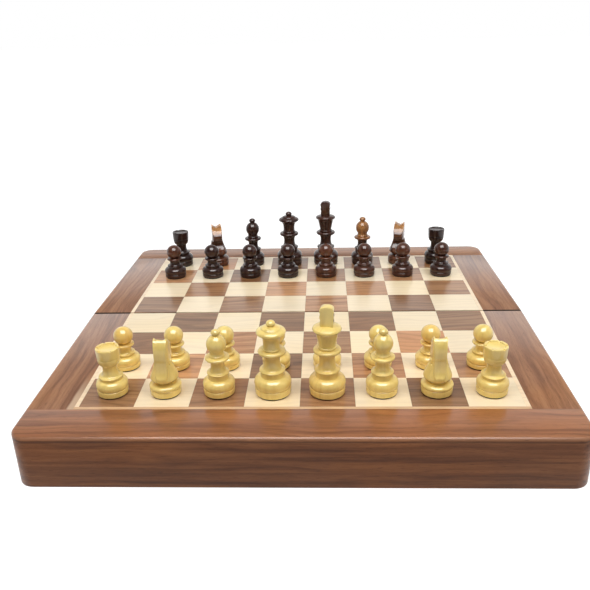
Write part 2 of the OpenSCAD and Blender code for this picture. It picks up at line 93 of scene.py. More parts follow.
def man_height(man, default):
    return length(man + ", height", f"Height of each {man.lower()}", default)


def angle(name, description, degrees):
    """An angle for the panel, given here in degrees."""
    return bpy.props.FloatProperty(name=name, description=description, subtype="ANGLE",
                                   unit="ROTATION", default=math.radians(degrees))


def power(name, description, default):
    """A lamp's power in watts for the panel."""
    return bpy.props.FloatProperty(name=name, description=description, default=default, min=0.0,
                                   unit="POWER")


def share(name, description, default):
    """A share from nothing to all for the panel."""
    return bpy.props.FloatProperty(name=name, description=description, default=default,
                                   min=0.0, max=1.0, subtype="FACTOR")


def colour(name, description, default):
    """A colour for the panel."""
    return bpy.props.FloatVectorProperty(name=name, description=description, default=default,
                                         size=3, min=0.0, max=1.0, subtype="COLOR")


class ChessBoardSizes(bpy.types.PropertyGroup):
    """Sizes of the board, the same as the solids have."""
    square: length("Square", "Side of one playing square", 0.0254)
    stringing: length("Stringing", "Width of the light stringing", 0.002)
    border: length("Border", "Width of the border outside the stringing", 0.0224)
    half_height: length("Half height", "Height of one half, from rim to playing surface", 0.026)
    edge: length("Top edge", "Rounding of the outer top edge", 0.0015)
    knuckle: length("Knuckle", "Radius of the hinge knuckles", 0.0025)
    seam: length("Seam", "Gap between the halves when the board lies flat", 0.0002)
    arris: length("Arris", "Width that the rails' sharp edges are eased by", 0.0003)
    insert_edge: length("Tray edge", "Rounding of the flocked trays' edges", 0.0009)


class ChessManSizes(bpy.types.PropertyGroup):
    """Base widths and heights of the men, the same as the solids have."""
    king_base: base_width("King", 0.0172)
    king_height: man_height("King", 0.0444)
    queen_base: base_width("Queen", 0.0174)
    queen_height: man_height("Queen", 0.0375)
    bishop_base: base_width("Bishop", 0.0151)
    bishop_height: man_height("Bishop", 0.033)
    knight_base: base_width("Knight", 0.0150)
    knight_height: man_height("Knight", 0.0295)
    rook_base: base_width("Rook", 0.0149)
    rook_height: man_height("Rook", 0.0242)
    pawn_base: base_width("Pawn", 0.0142)
    pawn_height: man_height("Pawn", 0.0220)
    felt: length("Felt", "Thickness of the felt under the men", 0.0006)
    light_knight_turn: angle("Light knights' turn", "Turn towards the middle files", 0)
    dark_knight_turn: angle("Dark knights' turn", "Turn towards the middle files", 16)
    king_turn: angle("Kings' turn", "Turn of the kings, clockwise from above", 8)


class ChessFinish(bpy.types.PropertyGroup):
    """Colours and gloss of the woods."""
    rosewood_pale: colour("Rosewood, pale", "Pale wood of the rails", (0.38, 0.18, 0.088))
    rosewood_deep: colour("Rosewood, deep", "Dark streaks of the rails", (0.17, 0.066, 0.032))
    rosewood_warm: colour("Rosewood, warm", "Orange patches of the rails", (0.45, 0.18, 0.052))
    veneer_pale: colour("Dark squares, pale", "Pale wood of the dark squares", (0.52, 0.275, 0.13))
    veneer_deep: colour("Dark squares, deep", "Streaks of the dark squares", (0.24, 0.11, 0.055))
    maple: colour("Maple", "Light squares and stringing", (0.95, 0.79, 0.55))
    boxwood: colour("Boxwood", "Light men", (0.93, 0.72, 0.23))
    sapwood: colour("Sapwood", "Palest wood in the dark men", (0.55, 0.26, 0.08))
    lacquer: share("Lacquer", "Strength of the clear lacquer", 0.9)
    lacquer_blur: share("Lacquer blur", "How much the lacquer blurs what it mirrors", 0.2)


class ChessStudio(bpy.types.PropertyGroup):
    """The camera of the photograph and the studio's light."""
    place: bpy.props.FloatVectorProperty(
        name="Camera", description="Where the camera stands", size=3, subtype="TRANSLATION",
        unit="LENGTH", default=(0.012084, -0.375374, 0.193657))
    turn: bpy.props.FloatVectorProperty(
        name="Camera turn", description="How the camera is turned", size=3, subtype="EULER",
        default=(math.radians(67.6551), math.radians(1.3861), math.radians(2.1188)))
    lens: bpy.props.FloatProperty(name="Lens", description="Focal length in millimetres",
                                  default=42.601, min=10.0, max=300.0, subtype="DISTANCE_CAMERA")
    key_light: power("Key light", "Power of the lamp overhead", 8.8)
    gloss_light: power("Gloss light", "Power of the softbox that gloss mirrors", 19.0)
    side_light: power("Side light", "Power of the side lamp", 0.5)
    room_light: share("Room light", "Light from above all round", 0.5)


# ---------- places in the board ----------

def board():
    return bpy.context.scene.chess_board


def finish():
    return bpy.context.scene.chess_finish


def outer_half():
    """From the middle of the board to its outer edge."""
    return 4 * board().square + board().stringing + board().border


def rest_tilt():
    """How far each half slopes down from the seam as the open board stands."""
    return math.asin((board().knuckle + board().seam / 2) / outer_half())


def surface_height():
    """Height of the playing surface in a half that is drawn level."""
    return board().knuckle + board().seam / 2 + board().half_height


def let_down(side):
    """Moves what is drawn level to where that half stands; side is 1 for the base."""
    axis = Matrix.Translation((0, 0, board().knuckle))
    return axis @ Matrix.Rotation(side * rest_tilt(), 4, "X") @ axis.inverted()


# ---------- work on meshes, as by hand ----------

def clear_selection():
    """Leaves edit mode and deselects everything."""
    if bpy.context.object and bpy.context.object.mode != "OBJECT":
        bpy.ops.object.mode_set(mode="OBJECT")
    bpy.ops.object.select_all(action="DESELECT")


def pick(*pieces):
    """Selects only these objects; the first is the active one."""
    clear_selection()
    for piece in pieces:
        piece.select_set(True)
    bpy.context.view_layer.objects.active = pieces[0]


def edit(piece):
    """Opens one object in edit mode with all of its mesh selected."""
    pick(piece)
    bpy.ops.object.mode_set(mode="EDIT")
    bpy.ops.mesh.select_all(action="SELECT")


def tidy_mesh(piece):
    """Merges doubles and turns the faces outwards."""
    edit(piece)
    bpy.ops.mesh.remove_doubles(threshold=1e-6)
    bpy.ops.mesh.normals_make_consistent(inside=False)
    bpy.ops.object.mode_set(mode="OBJECT")


def smooth(piece, angle=38):
    """Smooth shading that keeps edges sharper than the angle."""
    pick(piece)
    bpy.ops.object.shade_smooth_by_angle(angle=math.radians(angle))


def apply_modifier(piece, kind, **settings):
    """Adds a modifier with these settings and applies it."""
    pick(piece)
    modifier = piece.modifiers.new(kind.title(), kind)
    for name, value in settings.items():
        setattr(modifier, name, value)
    bpy.ops.object.modifier_apply(modifier=modifier.name)


def cut(piece, cutter, operation="DIFFERENCE"):
    """Cuts a piece with another, which is used up."""
    apply_modifier(piece, "BOOLEAN", object=cutter, operation=operation, solver="EXACT")
    bpy.data.objects.remove(cutter)


def place(piece, matrix):
    """Moves a piece and applies its place, so that its object stays at the origin."""
    piece.matrix_world = matrix
    pick(piece)
    bpy.ops.object.transform_apply(location=True, rotation=True, scale=True)


def line(name, points):
    """Draws a line of vertices in the XZ plane, one after the other."""
    clear_selection()
    bpy.ops.mesh.primitive_plane_add(size=0.001)
    piece = bpy.context.object
    piece.name = name
    edit(piece)
    bpy.ops.mesh.merge(type="CENTER")
    bpy.ops.transform.translate(value=(points[0][0], 0, points[0][1]))
    for last, point in zip(points, points[1:]):
        step = (point[0] - last[0], 0, point[1] - last[1])
        bpy.ops.mesh.extrude_region_move(TRANSFORM_OT_translate={"value": step})
    return piece


def turned(name, outline, steps=72):
    """Spins an outline round the upright axis, as on a lathe."""
    piece = line(name, outline)
    bpy.ops.mesh.select_all(action="SELECT")
    bpy.ops.mesh.spin(steps=steps, angle=math.tau, center=(0, 0, 0), axis=(0, 0, 1))
    tidy_mesh(piece)
    return piece


def sawn(name, outline, thickness):
    """A plate with this outline in the XZ plane, as cut on a fretsaw, centred on it."""
    piece = line(name, outline)
    bpy.ops.mesh.select_all(action="SELECT")
    bpy.ops.mesh.edge_face_add()
    bpy.ops.mesh.extrude_region_move(TRANSFORM_OT_translate={"value": (0, thickness, 0)})
    bpy.ops.mesh.select_all(action="SELECT")
    bpy.ops.transform.translate(value=(0, -thickness / 2, 0))
    tidy_mesh(piece)
    return piece


def fresh(name):
    """Names the primitive that was just added and applies its place."""
    piece = bpy.context.object
    piece.name = name
    bpy.ops.object.transform_apply(location=True, rotation=True, scale=True)
    return piece


def bar(name, size, middle, turn=(0, 0, 0)):
    """A block of this size, turned about its middle, mostly to cut with."""
    clear_selection()
    bpy.ops.mesh.primitive_cube_add(size=1, location=middle, rotation=turn, scale=size)
    return fresh(name)


def slug(name, sides, radius, depth, middle, turn=(0, 0, 0)):
    """A short round blank, for a drill's point or a felt."""
    clear_selection()
    bpy.ops.mesh.primitive_cylinder_add(vertices=sides, radius=radius, depth=depth,
                                        location=middle, rotation=turn)
    return fresh(name)


def joined(*pieces):
    """Joins pieces into the first."""
    pick(*pieces)
    bpy.ops.object.join()
    return pieces[0]


def copied(mesh, name):
    """A new object in the scene with its own copy of a mesh."""
    piece = bpy.data.objects.new(name, mesh.copy())
    bpy.context.scene.collection.objects.link(piece)
    return piece


def bevelled(piece, width, segments, angle):
    """Rounds the edges that are sharper than the angle."""
    apply_modifier(piece, "BEVEL", width=width, segments=segments, limit_method="ANGLE",
                   angle_limit=math.radians(angle), harden_normals=False)


def copy_of_solid(node, name):
    """A copy of a CAD node with its loose triangles merged into plain faces."""
    piece = copied(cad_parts[node].data, name)
    piece.data.name = name
    pick(piece)
    if piece.data.has_custom_normals:
        bpy.ops.mesh.customdata_custom_splitnormals_clear()
    edit(piece)
    bpy.ops.mesh.remove_doubles(threshold=2e-6)
    bpy.ops.mesh.dissolve_limited(angle_limit=math.radians(0.6))
    bpy.ops.object.mode_set(mode="OBJECT")
    return piece


def eased(node, name, width, body, material, segments=2):
    """Stands for a CAD node with a copy whose sharp edges are eased."""
    piece = copy_of_solid(node, name)
    bevelled(piece, width, segments, 40)
    smooth(piece, 32)
    dress(piece, material)
    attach(piece, body)
    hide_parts(node)
    return piece


def dress(piece, *materials):
    """Gives a piece these materials and no others."""
    piece.data.materials.clear()
    for material in materials:
        piece.data.materials.append(material)


# ---------- shader nodes ----------

def opaque(rgb):
    return (rgb[0], rgb[1], rgb[2], 1.0)


def feed(tree, into, value):
    """Links another socket to this one, or sets its own value."""
    if isinstance(value, bpy.types.NodeSocket):
        tree.links.new(value, into)
    else:
        into.default_value = opaque(value) if into.type == "RGBA" else value


def add(tree, kind, inputs=(), **settings):
    """Adds a node; inputs are (socket, value or socket to link from) pairs."""
    new = tree.nodes.new(kind)
    for name, value in settings.items():
        setattr(new, name, value)
    for socket, value in inputs:
        feed(tree, new.inputs[socket], value)
    return new


def calc(tree, operation, *values, clamp=False):
    """A Math node on these numbers or sockets."""
    return add(tree, "ShaderNodeMath", enumerate(values), operation=operation,
               use_clamp=clamp).outputs[0]


def vector_calc(tree, operation, *values):
    """A Vector Math node on these vectors or sockets."""
    return add(tree, "ShaderNodeVectorMath", enumerate(values), operation=operation).outputs[0]


def scaled(tree, vector, by):
    """A vector stretched by a different amount along each axis."""
    return vector_calc(tree, "MULTIPLY", vector, by)


def noise(tree, vector, fineness, detail=2.0, roughness=0.5):
    """Noise with about this many features in a metre along each axis."""
    return add(tree, "ShaderNodeTexNoise", (("Vector", scaled(tree, vector, fineness)),
               ("Scale", 1.0), ("Detail", detail), ("Roughness", roughness))).outputs[0]


def span(tree, value, low, high, to_low=0.0, to_high=1.0):
    """Maps a range of a value to another, smoothly and clamped."""
    return add(tree, "ShaderNodeMapRange", (("Value", value), ("From Min", low),
               ("From Max", high), ("To Min", to_low), ("To Max", to_high)),
               interpolation_type="SMOOTHSTEP").outputs[0]


def swing(tree, value, by):
    """How far a value from 0 to 1 swings about its middle, made this large."""
    return calc(tree, "MULTIPLY", calc(tree, "SUBTRACT", value, 0.5), by)


def axes(tree, vector):
    """The three parts of a vector."""
    return add(tree, "ShaderNodeSeparateXYZ", ((0, vector),)).outputs


def mixed(tree, share_of, first, second, blend="MIX"):
    """A colour between two, or one laid over the other."""
    return add(tree, "ShaderNodeMix", ((0, share_of), (6, first), (7, second)),
               data_type="RGBA", blend_type=blend).outputs[2]


def tinted(tree, under, tint):
    """A colour with another multiplied over it."""
    return mixed(tree, 1.0, under, tint, "MULTIPLY")


def laid(tree, mask, strength, under, over):
    """A colour laid over another where a mask says, and no more strongly than this."""
    return mixed(tree, calc(tree, "MULTIPLY", mask, strength), under, over)


def toned(tree, under, tone):
    """A colour made paler or darker by a factor."""
    return add(tree, "ShaderNodeVectorMath", ((0, under), ("Scale", tone)),
               operation="SCALE").outputs[0]


def new_group(name, inputs, outputs):
    """A node group with sockets by name; a number, a colour or None for a vector says the kind.

    Gives its tree, its input sockets and a function that links an output.
    """
    tree = bpy.data.node_groups.new(name, "ShaderNodeTree")
    for label, default in inputs.items():
        kind = "Vector" if default is None else "Float" if isinstance(default, float) else "Color"
        socket = tree.interface.new_socket(label, in_out="INPUT", socket_type="NodeSocket" + kind)
        if default is not None:
            socket.default_value = opaque(default) if kind == "Color" else default
    for label, kind in outputs.items():
        tree.interface.new_socket(label, in_out="OUTPUT", socket_type="NodeSocket" + kind)
    start = tree.nodes.new("NodeGroupInput")
    end = tree.nodes.new("NodeGroupOutput")

    def give(label, socket):
        tree.links.new(socket, end.inputs[label])

    return tree, start.outputs, give


def group(name, build):
    """The node group of this name, built the first time that it is wanted."""
    return bpy.data.node_groups.get(name) or build(name)


def build_wood_figure(name):
    """Streaks, growth lines and pores of a board whose grain runs along X."""
    tree, given, give = new_group(name, {
        "Vector": None, "Pale": (0.5, 0.3, 0.15), "Deep": (0.2, 0.1, 0.05),
        "Warm": (0.5, 0.25, 0.1), "Streaks": 0.7, "Lines": 0.5, "Pores": 0.5, "Patches": 0.4,
    }, {"Color": "Color", "Height": "Float"})
    vector = given["Vector"]
    drift = noise(tree, vector, (9, 42, 42), 2.5, 0.5)
    shift = swing(tree, drift, 0.012)
    bent = vector_calc(tree, "ADD", vector,
                       scaled(tree, add(tree, "ShaderNodeCombineXYZ",
                                        ((1, shift), (2, shift))).outputs[0], (0, 1, 1)))
    streaks = span(tree, noise(tree, bent, (9, 260, 260), 4, 0.62), 0.36, 0.68)
    across = add(tree, "ShaderNodeVectorMath", ((0, bent), (1, (0.0, 0.82, 0.57))),
                 operation="DOT_PRODUCT").outputs["Value"]
    wave = calc(tree, "SINE", calc(tree, "ADD", calc(tree, "MULTIPLY", across, 1750.0),
                                   calc(tree, "MULTIPLY", drift, 26.0)))
    growth = calc(tree, "POWER", calc(tree, "MULTIPLY_ADD", wave, 0.5, 0.5), 3.0)
    fine = noise(tree, bent, (60, 2100, 2100), 2, 0.6)
    pores = span(tree, noise(tree, vector, (260, 4600, 4600), 1, 0.5), 0.60, 0.70)
    patches = span(tree, noise(tree, vector, (16, 30, 30), 1.5, 0.5), 0.45, 0.68)
    body = laid(tree, streaks, given["Streaks"], given["Pale"], given["Deep"])
    body = laid(tree, patches, given["Patches"], body, given["Warm"])
    for mask, strength, tint in ((growth, "Lines", (0.62, 0.56, 0.52)),
                                 (span(tree, fine, 0.45, 0.75), "Lines", (0.74, 0.70, 0.68)),
                                 (pores, "Pores", (0.45, 0.40, 0.38))):
        body = laid(tree, mask, given[strength], body, tinted(tree, body, tint))
    give("Color", body)
    give("Height", calc(tree, "SUBTRACT", calc(tree, "MULTIPLY", fine, 0.35),
                        calc(tree, "MULTIPLY", pores, given["Pores"])))
    return tree


def build_square_by_square(name):
    """A different place in the log and a different tone for each square of the board."""
    tree, given, give = new_group(name, {"Vector": None, "Square": 0.0254},
                                  {"Shift": "Vector", "Tone": "Float", "Slant": "Float"})
    cell = vector_calc(tree, "FLOOR", vector_calc(tree, "DIVIDE", given["Vector"],
                       add(tree, "ShaderNodeCombineXYZ", ((0, given["Square"]),
                           (1, given["Square"]), (2, 1.0))).outputs[0]))
    dice = add(tree, "ShaderNodeTexWhiteNoise", (("Vector", cell),), noise_dimensions="3D")
    give("Shift", scaled(tree, dice.outputs["Color"], (3.1, 2.3, 1.7)))
    give("Tone", dice.outputs["Value"])
    parts = add(tree, "ShaderNodeSeparateColor", ((0, dice.outputs["Color"]),))
    give("Slant", swing(tree, parts.outputs[1], 0.30))
    return tree


def build_lacquer_marks(name):
    """Uneven gloss and faint ripples of a sprayed and rubbed lacquer."""
    tree, given, give = new_group(name, {"Vector": None, "Roughness": 0.4, "Marks": 0.1},
                                  {"Roughness": "Float", "Height": "Float"})
    clouds = noise(tree, given["Vector"], (55, 55, 55), 3, 0.6)
    ripples = noise(tree, given["Vector"], (420, 420, 420), 1, 0.5)
    give("Roughness", calc(tree, "MULTIPLY_ADD", calc(tree, "SUBTRACT", clouds, 0.5),
                           given["Marks"], given["Roughness"]))
    give("Height", ripples)
    return tree


def build_band(name):
    """A soft-edged band between two heights, 1 inside and 0 outside."""
    tree, given, give = new_group(name, {"Height": 0.0, "Middle": 0.02, "Width": 0.001},
                                  {"Mask": "Float"})
    away = calc(tree, "ABSOLUTE", calc(tree, "SUBTRACT", given["Height"], given["Middle"]))
    share_in = calc(tree, "SUBTRACT", 1.0, calc(tree, "DIVIDE", away, given["Width"]), clamp=True)
    give("Mask", calc(tree, "SMOOTH_MIN", share_in, 1.0, 0.1))
    return tree


def build_pile(name):
    """Short fibres of flock or felt: a speckled height and a shade."""
    tree, given, give = new_group(name, {"Vector": None}, {"Shade": "Float", "Height": "Float"})
    fibres = noise(tree, given["Vector"], (4200, 4200, 4200), 2, 0.7)
    tufts = noise(tree, given["Vector"], (520, 520, 520), 3, 0.6)
    nap = noise(tree, given["Vector"], (38, 52, 45), 2, 0.5)
    give("Height", calc(tree, "MULTIPLY_ADD", fibres, 0.6, calc(tree, "MULTIPLY", tufts, 0.4)))
    give("Shade", calc(tree, "MULTIPLY_ADD", fibres, 0.5,
                       calc(tree, "MULTIPLY_ADD", tufts, 0.3, calc(tree, "MULTIPLY", nap, 0.5))))
    return tree


def build_handled_metal(name):
    """Drawing lines and handling marks in sheet or bar metal that was drawn along X."""
    tree, given, give = new_group(name, {"Vector": None, "Roughness": 0.3},
                                  {"Roughness": "Float", "Height": "Float", "Tarnish": "Float"})
    lines = noise(tree, given["Vector"], (180, 5200, 5200), 2, 0.6)
    spots = noise(tree, given["Vector"], (240, 240, 240), 4, 0.65)
    give("Roughness", calc(tree, "ADD", given["Roughness"],
                           calc(tree, "MULTIPLY", calc(tree, "SUBTRACT", lines, 0.4), 0.25)))
    give("Height", lines)
    give("Tarnish", span(tree, spots, 0.45, 0.75))
    return tree


def use(tree, name, build, *inputs):
    """Places a node group in a material with its own values."""
    return add(tree, "ShaderNodeGroup", inputs, node_tree=group(name, build)).outputs


def wood(tree, vector, colours, streaks, lines, pores, patches):
    """The figure of a wood in its pale, its deep and its warm colour."""
    pale, deep, warm = colours
    return use(tree, "Wood figure", build_wood_figure, ("Vector", vector), ("Pale", pale),
               ("Deep", deep), ("Warm", warm), ("Streaks", streaks), ("Lines", lines),
               ("Pores", pores), ("Patches", patches))


def own_place(tree, vector):
    """Every square's own place in the log, tone and slant."""
    return use(tree, "Square by square", build_square_by_square, ("Vector", vector),
               ("Square", board().square))


def band(tree, height, middle, width):
    """A soft-edged band round a height."""
    return use(tree, "Band", build_band, ("Height", height), ("Middle", middle),
               ("Width", width))["Mask"]


def new_material(name):
    """An empty material: its tree, its Principled shader and its Object coordinates."""
    material = bpy.data.materials.new(name)
    material.use_nodes = True
    tree = material.node_tree
    shader = tree.nodes["Principled BSDF"]
    return material, tree, shader, add(tree, "ShaderNodeTexCoord").outputs["Object"]


def level(tree, vector, side):
    """Coordinates of a half as if it lay level."""
    angle = side * rest_tilt()
    axis = board().knuckle
    return add(tree, "ShaderNodeMapping", (("Vector", vector), ("Rotation", (-angle, 0, 0)),
               ("Location", (0, -axis * math.sin(angle), axis * (1 - math.cos(angle)))))).outputs[0]


def along(tree, vector, axis, shift=(0, 0, 0)):
    """Coordinates whose X runs along the grain, from another place in the log."""
    turn = {"X": (0, 0, 0), "Y": (0, 0, math.pi / 2), "Z": (0, math.pi / 2, 0)}[axis]
    return add(tree, "ShaderNodeMapping", (("Vector", vector), ("Rotation", turn),
                                           ("Location", shift))).outputs[0]


def bump(tree, height, distance, strength, under=None):
    """A Bump node, over another one where there is one."""
    inputs = [("Height", height), ("Distance", distance), ("Strength", strength)]
    if under is not None:
        inputs.append(("Normal", under))
    return add(tree, "ShaderNodeBump", inputs).outputs[0]


def wire(tree, shader, **values):
    """Feeds the shader's sockets, by their names with _ for a space."""
    for name, value in values.items():
        feed(tree, shader.inputs[name.replace("_", " ")], value)


# Depth of the grain that is felt under the lacquer, on the board and on the men
RELIEF, MAN_RELIEF = 0.00006, 0.00003
# The dark men's wood, from heartwood on; the last stop is the sapwood
DARK_STOPS = ((0.0, (0.024, 0.010, 0.008)), (0.22, (0.050, 0.018, 0.012)),
              (0.5, (0.125, 0.043, 0.022)), (0.75, (0.290, 0.115, 0.042)))
# Painted shade on a rail: what is left of its colour on top and on its sides below the top edge;
# the sides are darkened for the shade that falls on them, and the front rail's top is darkened too
PLAIN_PAINTED_SHADE = ((1.0, 1.0, 1.0), (0.92, 0.74, 0.56))
FRONT_PAINTED_SHADE = ((0.95, 0.79, 0.62), (0.92, 0.74, 0.56))


def lacquered(tree, shader, vector, colour_out, height, blur=None, roughness=0.42, coat=None,
              relief=RELIEF):
    """Clear lacquer over wood: grain just felt below it, soft mirror on top."""
    marks = use(tree, "Lacquer marks", build_lacquer_marks, ("Vector", vector),
                ("Roughness", roughness), ("Marks", 0.14))
    ground = bump(tree, height, relief, 0.35)
    wire(tree, shader, Base_Color=colour_out, Roughness=marks["Roughness"],
         Normal=bump(tree, marks["Height"], 0.00003, 0.10, ground),
         Coat_Weight=finish().lacquer if coat is None else coat,
         Coat_Roughness=finish().lacquer_blur if blur is None else blur,
         Coat_IOR=1.5, Specular_IOR_Level=0.08)


def rail_wood(name, side, axis, shift, painted_shade=PLAIN_PAINTED_SHADE, gloss=1.0, sapwood=False):
    """Lacquered rosewood of one rail: grain along it, painted shade on its sides and in a line
    under its top edge, a painted highlight along that edge and painted shade at the seam.
    """
    material, tree, shader, place_in = new_material(name)
    flat = level(tree, place_in, side)
    grain = along(tree, flat, axis, shift)
    values = finish()
    figure = wood(tree, grain, (values.rosewood_pale, values.rosewood_deep, values.rosewood_warm),
                  0.75, 0.45, 0.55, 0.45)
    out = figure["Color"]
    parts = axes(tree, flat)
    if sapwood:  # a pale strip beside the stringing, towards the front corner
        inlay = 4 * board().square + board().stringing
        wander = calc(tree, "MULTIPLY", noise(tree, flat, (90, 60, 60), 1), 0.003)
        near = span(tree, calc(tree, "ADD", parts[0], wander), -inlay - 0.0022, -inlay - 0.0008)
        front = span(tree, parts[1], -0.070, -0.096)
        out = laid(tree, near, front, out, (0.55, 0.38, 0.25))
    top, edge = surface_height(), board().edge
    sides = span(tree, parts[2], top - edge * 1.1, top - edge * 0.6, 1.0, 0.0)
    vein = span(tree, noise(tree, grain, (7, 330, 330), 3, 0.6), 0.50, 0.60)
    veined = laid(tree, vein, 0.5, out, tinted(tree, out, (0.42, 0.34, 0.30)))
    # Painted shade: the sides below the top edge take the darker tint, and on the front rail the
    # top is darkened as well; the dark veins on the sides are grain
    out = mixed(tree, sides, tinted(tree, out, painted_shade[0]), tinted(tree, veined, painted_shade[1]))
    # A painted shade line just under the rounded top edge
    painted_shade_line = band(tree, parts[2], top - edge - 0.0006, 0.0007)
    out = laid(tree, painted_shade_line, 0.6, out, (0.035, 0.017, 0.012))
    # A painted highlight along the rounded top edge
    painted_edge_highlight = band(tree, parts[2], top - edge * 0.45, 0.0008)
    out = laid(tree, painted_edge_highlight, 0.25, out, (0.50, 0.33, 0.24))
    # Painted shade on the seam faces between the halves, near their top
    seam = span(tree, calc(tree, "ABSOLUTE", parts[1]), 0.0003, 0.0005, 0.92, 0.0)
    out = laid(tree, seam, span(tree, parts[2], top - 0.003, top - 0.0015), out,
               (0.020, 0.010, 0.007))
    coat_on_top, coat_on_sides = gloss * values.lacquer, 0.3
    lacquered(tree, shader, flat, out, figure["Height"],
              coat=calc(tree, "MULTIPLY_ADD", sides, coat_on_sides - coat_on_top, coat_on_top))
    return material


def dark_veneer(side):
    """Rosewood squares, each from another place in the log, all with the grain along X."""
    material, tree, shader, place_in = new_material("Rosewood veneer " + half_name(side))
    flat = level(tree, place_in, side)
    own = own_place(tree, flat)
    turned_grain = add(tree, "ShaderNodeVectorRotate", (("Vector", flat), ("Angle", own["Slant"])),
                       rotation_type="Z_AXIS").outputs[0]
    values = finish()
    figure = wood(tree, vector_calc(tree, "ADD", turned_grain, own["Shift"]),
                  (values.veneer_pale, values.veneer_deep, values.rosewood_warm),
                  0.6, 0.5, 0.3, 0.5)
    out = toned(tree, figure["Color"], span(tree, own["Tone"], 0.0, 1.0, 0.60, 1.38))
    lacquered(tree, shader, flat, out, figure["Height"])
    return material


def light_veneer(side):
    """Maple squares: nearly plain, a shade apart from each other."""
    material, tree, shader, place_in = new_material("Maple veneer " + half_name(side))
    flat = level(tree, place_in, side)
    own = own_place(tree, flat)
    maple = Vector(finish().maple)
    figure = wood(tree, vector_calc(tree, "ADD", flat, own["Shift"]),
                  (maple, maple * 0.86, maple * Vector((1.0, 0.95, 0.82))),
                  0.35, 0.12, 0.06, 0.5)
    out = toned(tree, figure["Color"], span(tree, own["Tone"], 0.0, 1.0, 0.94, 1.04))
    lacquered(tree, shader, flat, out, figure["Height"])
    return material


def stringing_wood(side):
    """Pale maple strips, a little warmer than the squares, with painted shade on the strip in front
    of the squares.
    """
    material, tree, shader, place_in = new_material("Maple stringing " + half_name(side))
    flat = level(tree, place_in, side)
    maple = Vector(finish().maple)
    figure = wood(tree, flat, (maple * Vector((1.03, 0.97, 0.93)), maple * 0.8, maple * 0.93),
                  0.35, 0.2, 0.1, 0.3)
    inner_edge = 4 * board().square
    # Painted shade: the stringing strip in front of the squares on the base is darker
    front = span(tree, axes(tree, flat)[1], -inner_edge - 0.0001, -inner_edge, 1.0, 0.0)
    out = mixed(tree, front, figure["Color"], tinted(tree, figure["Color"], (0.74, 0.60, 0.50)))
    lacquered(tree, shader, flat, out, figure["Height"])
    return material


def half_name(side):
    return "of the base" if side > 0 else "of the lid"


def man_grain(tree, place_in):
    """Coordinates with the grain upright, from each man's own place in the log."""
    return along(tree, vector_calc(tree, "ADD", place_in, own_place(tree, place_in)["Shift"]), "Z")


def man_tone(tree):
    """The tone that each man's own attribute holds."""
    return add(tree, "ShaderNodeAttribute", attribute_name="tone").outputs["Fac"]


def light_man_wood():
    """Polished boxwood, more amber where a man's own tone says so."""
    material, tree, shader, place_in = new_material("Polished boxwood")
    box = Vector(finish().boxwood)
    figure = wood(tree, man_grain(tree, place_in),
                  (box, box * Vector((0.86, 0.76, 0.6)), box * Vector((0.98, 0.82, 0.66))),
                  0.4, 0.14, 0.08, 0.4)
    out = mixed(tree, span(tree, man_tone(tree), 0.45, 1.0), figure["Color"],
                tinted(tree, figure["Color"], (0.97, 0.82, 0.66)))
    lacquered(tree, shader, place_in, out, figure["Height"], blur=0.10, roughness=0.36,
              coat=1.0, relief=MAN_RELIEF)
    return material


def dark_man_wood():
    """Polished dark rosewood that runs into sapwood where a man's own tone says so."""
    material, tree, shader, place_in = new_material("Polished dark rosewood")
    vector = man_grain(tree, place_in)
    wander = noise(tree, vector, (70, 420, 420), 3, 0.6)
    tone = calc(tree, "ADD", man_tone(tree), swing(tree, wander, 0.28), clamp=True)
    ramp = add(tree, "ShaderNodeValToRGB", ((0, tone),))
    stops = DARK_STOPS + ((1.0, finish().sapwood),)
    while len(ramp.color_ramp.elements) < len(stops):
        ramp.color_ramp.elements.new(0.5)
    for element, (position, rgb) in zip(ramp.color_ramp.elements, stops):
        element.position = position
        element.color = opaque(rgb)
    out = ramp.outputs[0]
    figure = wood(tree, vector, (out, tinted(tree, out, (0.45, 0.4, 0.4)), out),
                  0.6, 0.4, 0.25, 0.0)
    lacquered(tree, shader, place_in, figure["Color"], figure["Height"], blur=0.07,
              roughness=0.38, coat=0.8, relief=MAN_RELIEF)
    return material


def pile_cloth(name, dark, pale, relief):
    """Flock or felt in one colour, with its nap and a soft sheen."""
    material, tree, shader, place_in = new_material(name)
    pile = use(tree, "Pile", build_pile, ("Vector", place_in))
    wire(tree, shader, Base_Color=mixed(tree, pile["Shade"], dark, pale),
         Normal=bump(tree, pile["Height"], relief, 0.7), Roughness=0.95,
         Specular_IOR_Level=0.15, Sheen_Weight=0.35, Sheen_Roughness=0.4)
    return material


def metal(name, clean, dull, roughness, relief=0.00002):
    """Drawn or rolled metal with handling marks."""
    material, tree, shader, place_in = new_material(name)
    marks = use(tree, "Handled metal", build_handled_metal, ("Vector", place_in),
                ("Roughness", roughness))
    wire(tree, shader, Base_Color=mixed(tree, marks["Tarnish"], clean, dull),
         Roughness=marks["Roughness"], Normal=bump(tree, marks["Height"], relief, 0.4),
         Metallic=1.0)
    return material


def plywood(side):
    """Birch plywood: pale faces, and thin dark and light plies on its edges."""
    material, tree, shader, place_in = new_material("Birch plywood " + half_name(side))
    flat = level(tree, place_in, side)
    figure = wood(tree, flat, ((0.66, 0.50, 0.32), (0.50, 0.35, 0.20), (0.62, 0.42, 0.22)),
                  0.5, 0.3, 0.2, 0.4)
    ply_thickness = 0.7
    plies = calc(tree, "PINGPONG", calc(tree, "MULTIPLY", axes(tree, flat)[2], 1000.0),
                 ply_thickness)
    out = mixed(tree, span(tree, plies, 0.3, 0.4, 0.0, 0.45), figure["Color"],
                (0.34, 0.22, 0.12))
    wire(tree, shader, Base_Color=out, Normal=bump(tree, figure["Height"], 0.00008, 0.5),
         Roughness=0.75)
    return material


# ---------- outlines of the men, from the axis outwards and up ----------

